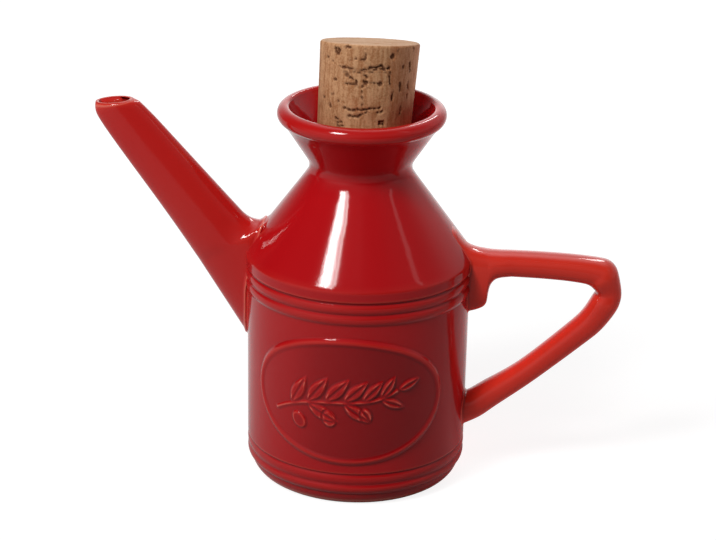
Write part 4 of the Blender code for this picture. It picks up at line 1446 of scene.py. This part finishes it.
def bark_tree():
    """Sinks cracks and pores into the cork and stores how deep each point lies as pore."""
    maker, given = new_geometry_tree("cork_bark", {
        "Radius": "Float", "Cracks": "Object", "Crack Width": "Float", "Depth": "Float",
        "Pore Scale": "Float"})
    position = maker.value("GeometryNodeInputPosition")
    place = maker.parts(position)
    across = maker.math('ARCTAN2', place[0], -place[1]) * given["Radius"]
    shift = (maker.noise(position, *BARK_WOBBLE) - 0.5) * CRACK_WAVER
    flat = maker.vector(across, 0.0, place[2] + shift)
    away = maker.distance_to(maker.shape(given["Cracks"]), flat, 'EDGES')
    ragged = maker.ramp(maker.noise(position, *BARK_RAGGED), *CRACK_WIDTH_STEP)
    widths_away = away / (given["Crack Width"] * ragged)
    crack = maker.ramp(widths_away, *CRACK_STEP)
    stain = maker.ramp(widths_away, *STAIN_STEP)

    cells = maker.node("ShaderNodeTexVoronoi", {"Vector": position, "Scale": given["Pore Scale"]})
    chance = maker.parts(cells.outputs["Color"])[0]
    size = maker.ramp(chance, *PORE_SIZE_STEP)
    pore = maker.ramp(size - cells.outputs["Distance"], 0.0, PORE_SOFTNESS)
    depth = maker.math('MAXIMUM', crack, pore * PORE_SHARE)
    stored = maker.store(given["Geometry"], "pore", maker.math('MAXIMUM', depth, stain))
    rough = (maker.noise(position, *BARK_ROUGH) - BARK_LEVEL) * BARK_ROUGH_DEPTH
    sink = depth * -given["Depth"] + rough
    moved = maker.push(stored, maker.value("GeometryNodeInputNormal"), sink)
    return maker.end(moved, given["Material"])


class JUG_OT_cork(bpy.types.Operator):
    """Adds the natural cork stopper, which leans a little in the neck"""
    bl_idname = "oil_jug.cork"
    bl_label = "Add Cork"

    def execute(self, context):
        settings = context.scene.jug_cork
        radius, height = throat(context.scene.jug_body.wall)
        top = CORK_TOP_HEIGHT - height
        swell = CORK_GRIP_HEIGHT + CORK_SWELL_HEIGHT
        grip = radius - CORK_GAP
        tail = grip - CORK_TAIL_TAPER
        profile = [(0.0, top), (CORK_TOP_RADIUS - CORK_EDGE, top),
                   (CORK_TOP_RADIUS, top - CORK_EDGE), (CORK_TOP_RADIUS - CORK_TAPER, swell),
                   (grip, CORK_GRIP_HEIGHT), (grip, -CORK_GRIP_HEIGHT),
                   (tail, CORK_EDGE - CORK_TAIL_LENGTH), (tail - CORK_EDGE, -CORK_TAIL_LENGTH),
                   (0.0, -CORK_TAIL_LENGTH)]

        def spacing(point):
            return CORK_FINE_STEP if point[1] > 3 * MM and point[0] > 2 * MM else 1.0 * MM

        rows = thin_out(soften(profile, LINE_SPACING, CORK_SOFTNESS), spacing, math.radians(60))
        rows[0, 0] = rows[-1, 0] = 0.0
        angles = span(-math.pi, math.pi, CORK_FINE_STEP / CORK_TOP_RADIUS)[:-1]
        piece = turned_body("cork_stopper", rows, np.zeros(len(rows)), angles)
        point_outwards(piece)
        cracks = self.crack_lines(top)
        grow(piece, bark_tree(), {
            "Radius": CORK_TOP_RADIUS, "Cracks": cracks, "Crack Width": settings.crack_width,
            "Depth": settings.pore_depth, "Pore Scale": settings.pore_scale,
            "Material": cork_material(context.scene.jug_colours)})
        drop(cracks)
        self.slant_top(piece, top, swell)
        lean = Euler((-math.radians(CORK_LEAN_BACK), math.radians(CORK_LEAN_SIDE), 0.0))
        piece.data.transform(Matrix.Translation((0.0, 0.0, height)) @ lean.to_matrix().to_4x4())
        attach(piece, "cork")
        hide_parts("cork")
        return {'FINISHED'}

    @staticmethod
    def slant_top(piece, top, swell):
        """Cuts the top at a slant, lower at the back, by shearing all above the swell."""
        sideways = math.tan(math.radians(CORK_SLANT_SIDE))
        backwards = math.tan(math.radians(CORK_SLANT_BACK))
        for vertex in piece.data.vertices:
            share = max(0.0, vertex.co.z - swell) / (top - swell)
            vertex.co.z += share * (sideways * vertex.co.x - backwards * vertex.co.y)

    @staticmethod
    def crack_lines(top):
        """The long cracks as lines on the cork's side, unrolled."""
        points, edges = [], []
        for start_angle, start_drop, end_angle, end_drop, fade in CORK_CRACKS:
            for angle, drop in ((start_angle, start_drop), (end_angle, end_drop)):
                points.append((math.radians(angle) * CORK_TOP_RADIUS, fade * MM, top - drop * MM))
            edges.append((len(points) - 2, len(points) - 1))
        return new_piece("crack_lines", points, [], edges=edges)


def camera_matrix(studio):
    """Where the camera stands: round the jug at its elevation, aimed at its middle, rolled."""
    level = studio.distance * math.cos(studio.elevation)
    eye = Vector((level * math.sin(studio.azimuth), -level * math.cos(studio.azimuth),
                  CAMERA_PIVOT_HEIGHT + studio.distance * math.sin(studio.elevation)))
    ahead = (CAMERA_AIM - eye).normalized()
    right = ahead.cross(Vector((0.0, 0.0, 1.0))).normalized()
    up = right.cross(ahead)
    rolled = right * math.cos(studio.roll) - up * math.sin(studio.roll)
    above = right * math.sin(studio.roll) + up * math.cos(studio.roll)
    matrix = Matrix((rolled, above, -ahead)).transposed().to_4x4()
    matrix.translation = eye
    return matrix


def add_softbox(name, place, size, power, shift=0.0):
    """A rectangular light facing the jug, shifted sideways. Power is in watts to a square metre."""
    lamp = bpy.data.lights.new(name, 'AREA')
    lamp.shape = 'RECTANGLE'
    lamp.size, lamp.size_y = size
    lamp.energy = power * size[0] * size[1]
    piece = new_object(name, lamp)
    azimuth, elevation, distance = place
    away = direction_to(azimuth, elevation)
    facing = away.to_track_quat('Z', 'Y')
    sideways = facing @ Vector((shift, 0.0, 0.0))
    piece.location = Vector((0.0, 0.0, LIGHT_AIM_HEIGHT)) + away * distance + sideways
    piece.rotation_euler = facing.to_euler()
    return piece


def direction_to(azimuth, elevation):
    """The direction of an azimuth and an elevation in degrees, seen from the jug."""
    turn, rise = math.radians(azimuth), math.radians(elevation)
    return Vector((math.sin(turn) * math.cos(rise), -math.cos(turn) * math.cos(rise),
                   math.sin(rise)))


def soft_glows(maker, direction, glows, sharpness):
    """Adds up soft round glows. Gives their strength on plain surfaces and in reflections."""
    plain, gloss = 0.0, 0.0
    for azimuth, elevation, on_plain, in_gloss in glows:
        near = maker.vector_math('DOT_PRODUCT', {0: direction, 1: direction_to(azimuth, elevation)},
                                 "Value")
        glow = maker.math('EXPONENT', (near - 1.0) * sharpness)
        if on_plain:
            plain = plain + glow * on_plain
        if in_gloss:
            gloss = gloss + glow * in_gloss
    return plain, gloss


def split_rays(maker, plain, gloss, white):
    """The strength for plain light, for reflections, and for rays that see the background."""
    path = maker.node("ShaderNodeLightPath").outputs
    glossy = maker.value("ShaderNodeMix", {0: path["Is Glossy Ray"], 2: plain, 3: gloss})
    seen = maker.math('MAXIMUM', path["Is Camera Ray"], path["Is Transmission Ray"])
    return maker.value("ShaderNodeMix", {0: seen, 2: glossy, 3: white})


class JUG_OT_stage(bpy.types.Operator):
    """Adds the floor, the lights, the pale surroundings and the camera"""
    bl_idname = "oil_jug.stage"
    bl_label = "Add Stage"

    def execute(self, context):
        scene = context.scene
        studio = scene.jug_studio
        self.add_floor()
        self.add_world(scene, studio)
        for count, (shift, width, share) in enumerate(WINDOW_PANES):
            add_softbox(f"window_pane_{count + 1}", WINDOW_PLACE, (width, WINDOW_HEIGHT),
                        studio.key_power * share, shift)
        add_softbox("side_light", SIDE_LIGHT_PLACE, SIDE_LIGHT_SIZE, studio.fill_power)
        top = add_softbox("top_light", TOP_LIGHT_PLACE, TOP_LIGHT_SIZE, studio.top_power)
        top.visible_glossy = False
        back = add_softbox("back_window", BACK_LIGHT_PLACE, BACK_LIGHT_SIZE, studio.back_power)
        back.visible_diffuse = False
        camera = new_object("camera", bpy.data.cameras.new("camera"))
        camera.data.lens = studio.lens
        camera.data.sensor_width = 36.0
        camera.data.clip_end = 20.0
        camera.matrix_world = camera_matrix(studio)
        scene.camera = camera
        scene.view_settings.view_transform = 'Standard'
        return {'FINISHED'}

    @staticmethod
    def add_floor():
        side = FLOOR_HALF_SIZE
        floor = new_piece("floor", [(-side, -side, 0), (side, -side, 0), (side, side, 0),
                                    (-side, side, 0)], [(0, 1, 2, 3)])
        material = bpy.data.materials.new("pale_floor")
        material.use_nodes = True
        maker = TreeMaker(material.node_tree)
        material.node_tree.nodes.clear()
        base = maker.value("ShaderNodeBsdfDiffuse", {"Color": FLOOR_COLOUR})
        place = maker.value("ShaderNodeTexCoord", output="Object")
        outwards = maker.vector_math('NORMALIZE', {0: place})
        plain, gloss = soft_glows(maker, outwards, FLOOR_GLOWS, FLOOR_GLOW_SHARPNESS)
        away = maker.vector_math('LENGTH', {0: place}, "Value")
        seen = maker.ramp(away, *FLOOR_WHITE_FROM, *FLOOR_WHITE)
        glow = maker.value("ShaderNodeEmission", {
            "Color": WHITE, "Strength": split_rays(maker, plain, gloss, seen)})
        both = maker.value("ShaderNodeAddShader", {0: base, 1: glow})
        maker.node("ShaderNodeOutputMaterial", {"Surface": both})
        material.cycles.emission_sampling = 'NONE'
        floor.data.materials.append(material)

    @staticmethod
    def add_world(scene, studio):
        world = bpy.data.worlds.new("studio")
        world.use_nodes = True
        maker = TreeMaker(world.node_tree)
        world.node_tree.nodes.clear()
        outwards = maker.value("ShaderNodeTexCoord", output="Generated")
        plain, gloss = soft_glows(maker, outwards, SKY_GLOWS, SKY_GLOW_SHARPNESS)
        shader = maker.value("ShaderNodeBackground", {
            "Color": WHITE,
            "Strength": split_rays(maker, plain * studio.sky, gloss * studio.sky, 1.0)})
        maker.node("ShaderNodeOutputWorld", {"Surface": shader})
        scene.world = world


class JUG_PT_panel(bpy.types.Panel):
    """Sizes, colours and pieces of the oil jug"""
    bl_idname = "JUG_PT_panel"
    bl_label = "Oil Jug"
    bl_space_type = 'VIEW_3D'
    bl_region_type = 'UI'
    bl_category = "Oil Jug"

    def draw(self, context):
        layout = self.layout
        for name, group, *operators in STEPS:
            box = layout.box()
            box.label(text=name)
            settings = getattr(context.scene, group)
            for prop in settings.bl_rna.properties:
                if prop.identifier not in ("name", "rna_type"):
                    box.prop(settings, prop.identifier)
            for operator in operators:
                box.operator(operator)


STEPS = (
    ("Colours", "jug_colours"),
    ("Body", "jug_body"),
    ("Oval", "jug_plaque", "oil_jug.body"),
    ("Spout, Handle and Seams", "jug_spout", "oil_jug.spout", "oil_jug.handle"),
    ("Cork", "jug_cork", "oil_jug.cork"),
    ("Studio", "jug_studio", "oil_jug.stage"),
)
GROUPS = (("jug_colours", JugColours), ("jug_body", JugBody), ("jug_plaque", JugPlaque),
          ("jug_spout", JugSpout), ("jug_cork", JugCork), ("jug_studio", JugStudio))
CLASSES = tuple(group for _, group in GROUPS) + (
    JUG_OT_body, JUG_OT_spout, JUG_OT_handle, JUG_OT_cork, JUG_OT_stage, JUG_PT_panel)


def register():
    for item in CLASSES:
        bpy.utils.register_class(item)
    for name, group in GROUPS:
        setattr(bpy.types.Scene, name, PointerProperty(type=group))


def unregister():
    for name, _ in GROUPS:
        delattr(bpy.types.Scene, name)
    for item in reversed(CLASSES):
        bpy.utils.unregister_class(item)


def main():
    register()
    bpy.ops.oil_jug.stage()
    bpy.ops.oil_jug.body()
    bpy.ops.oil_jug.spout()
    bpy.ops.oil_jug.handle()
    bpy.ops.oil_jug.cork()


if __name__ == "__main__":
    main()
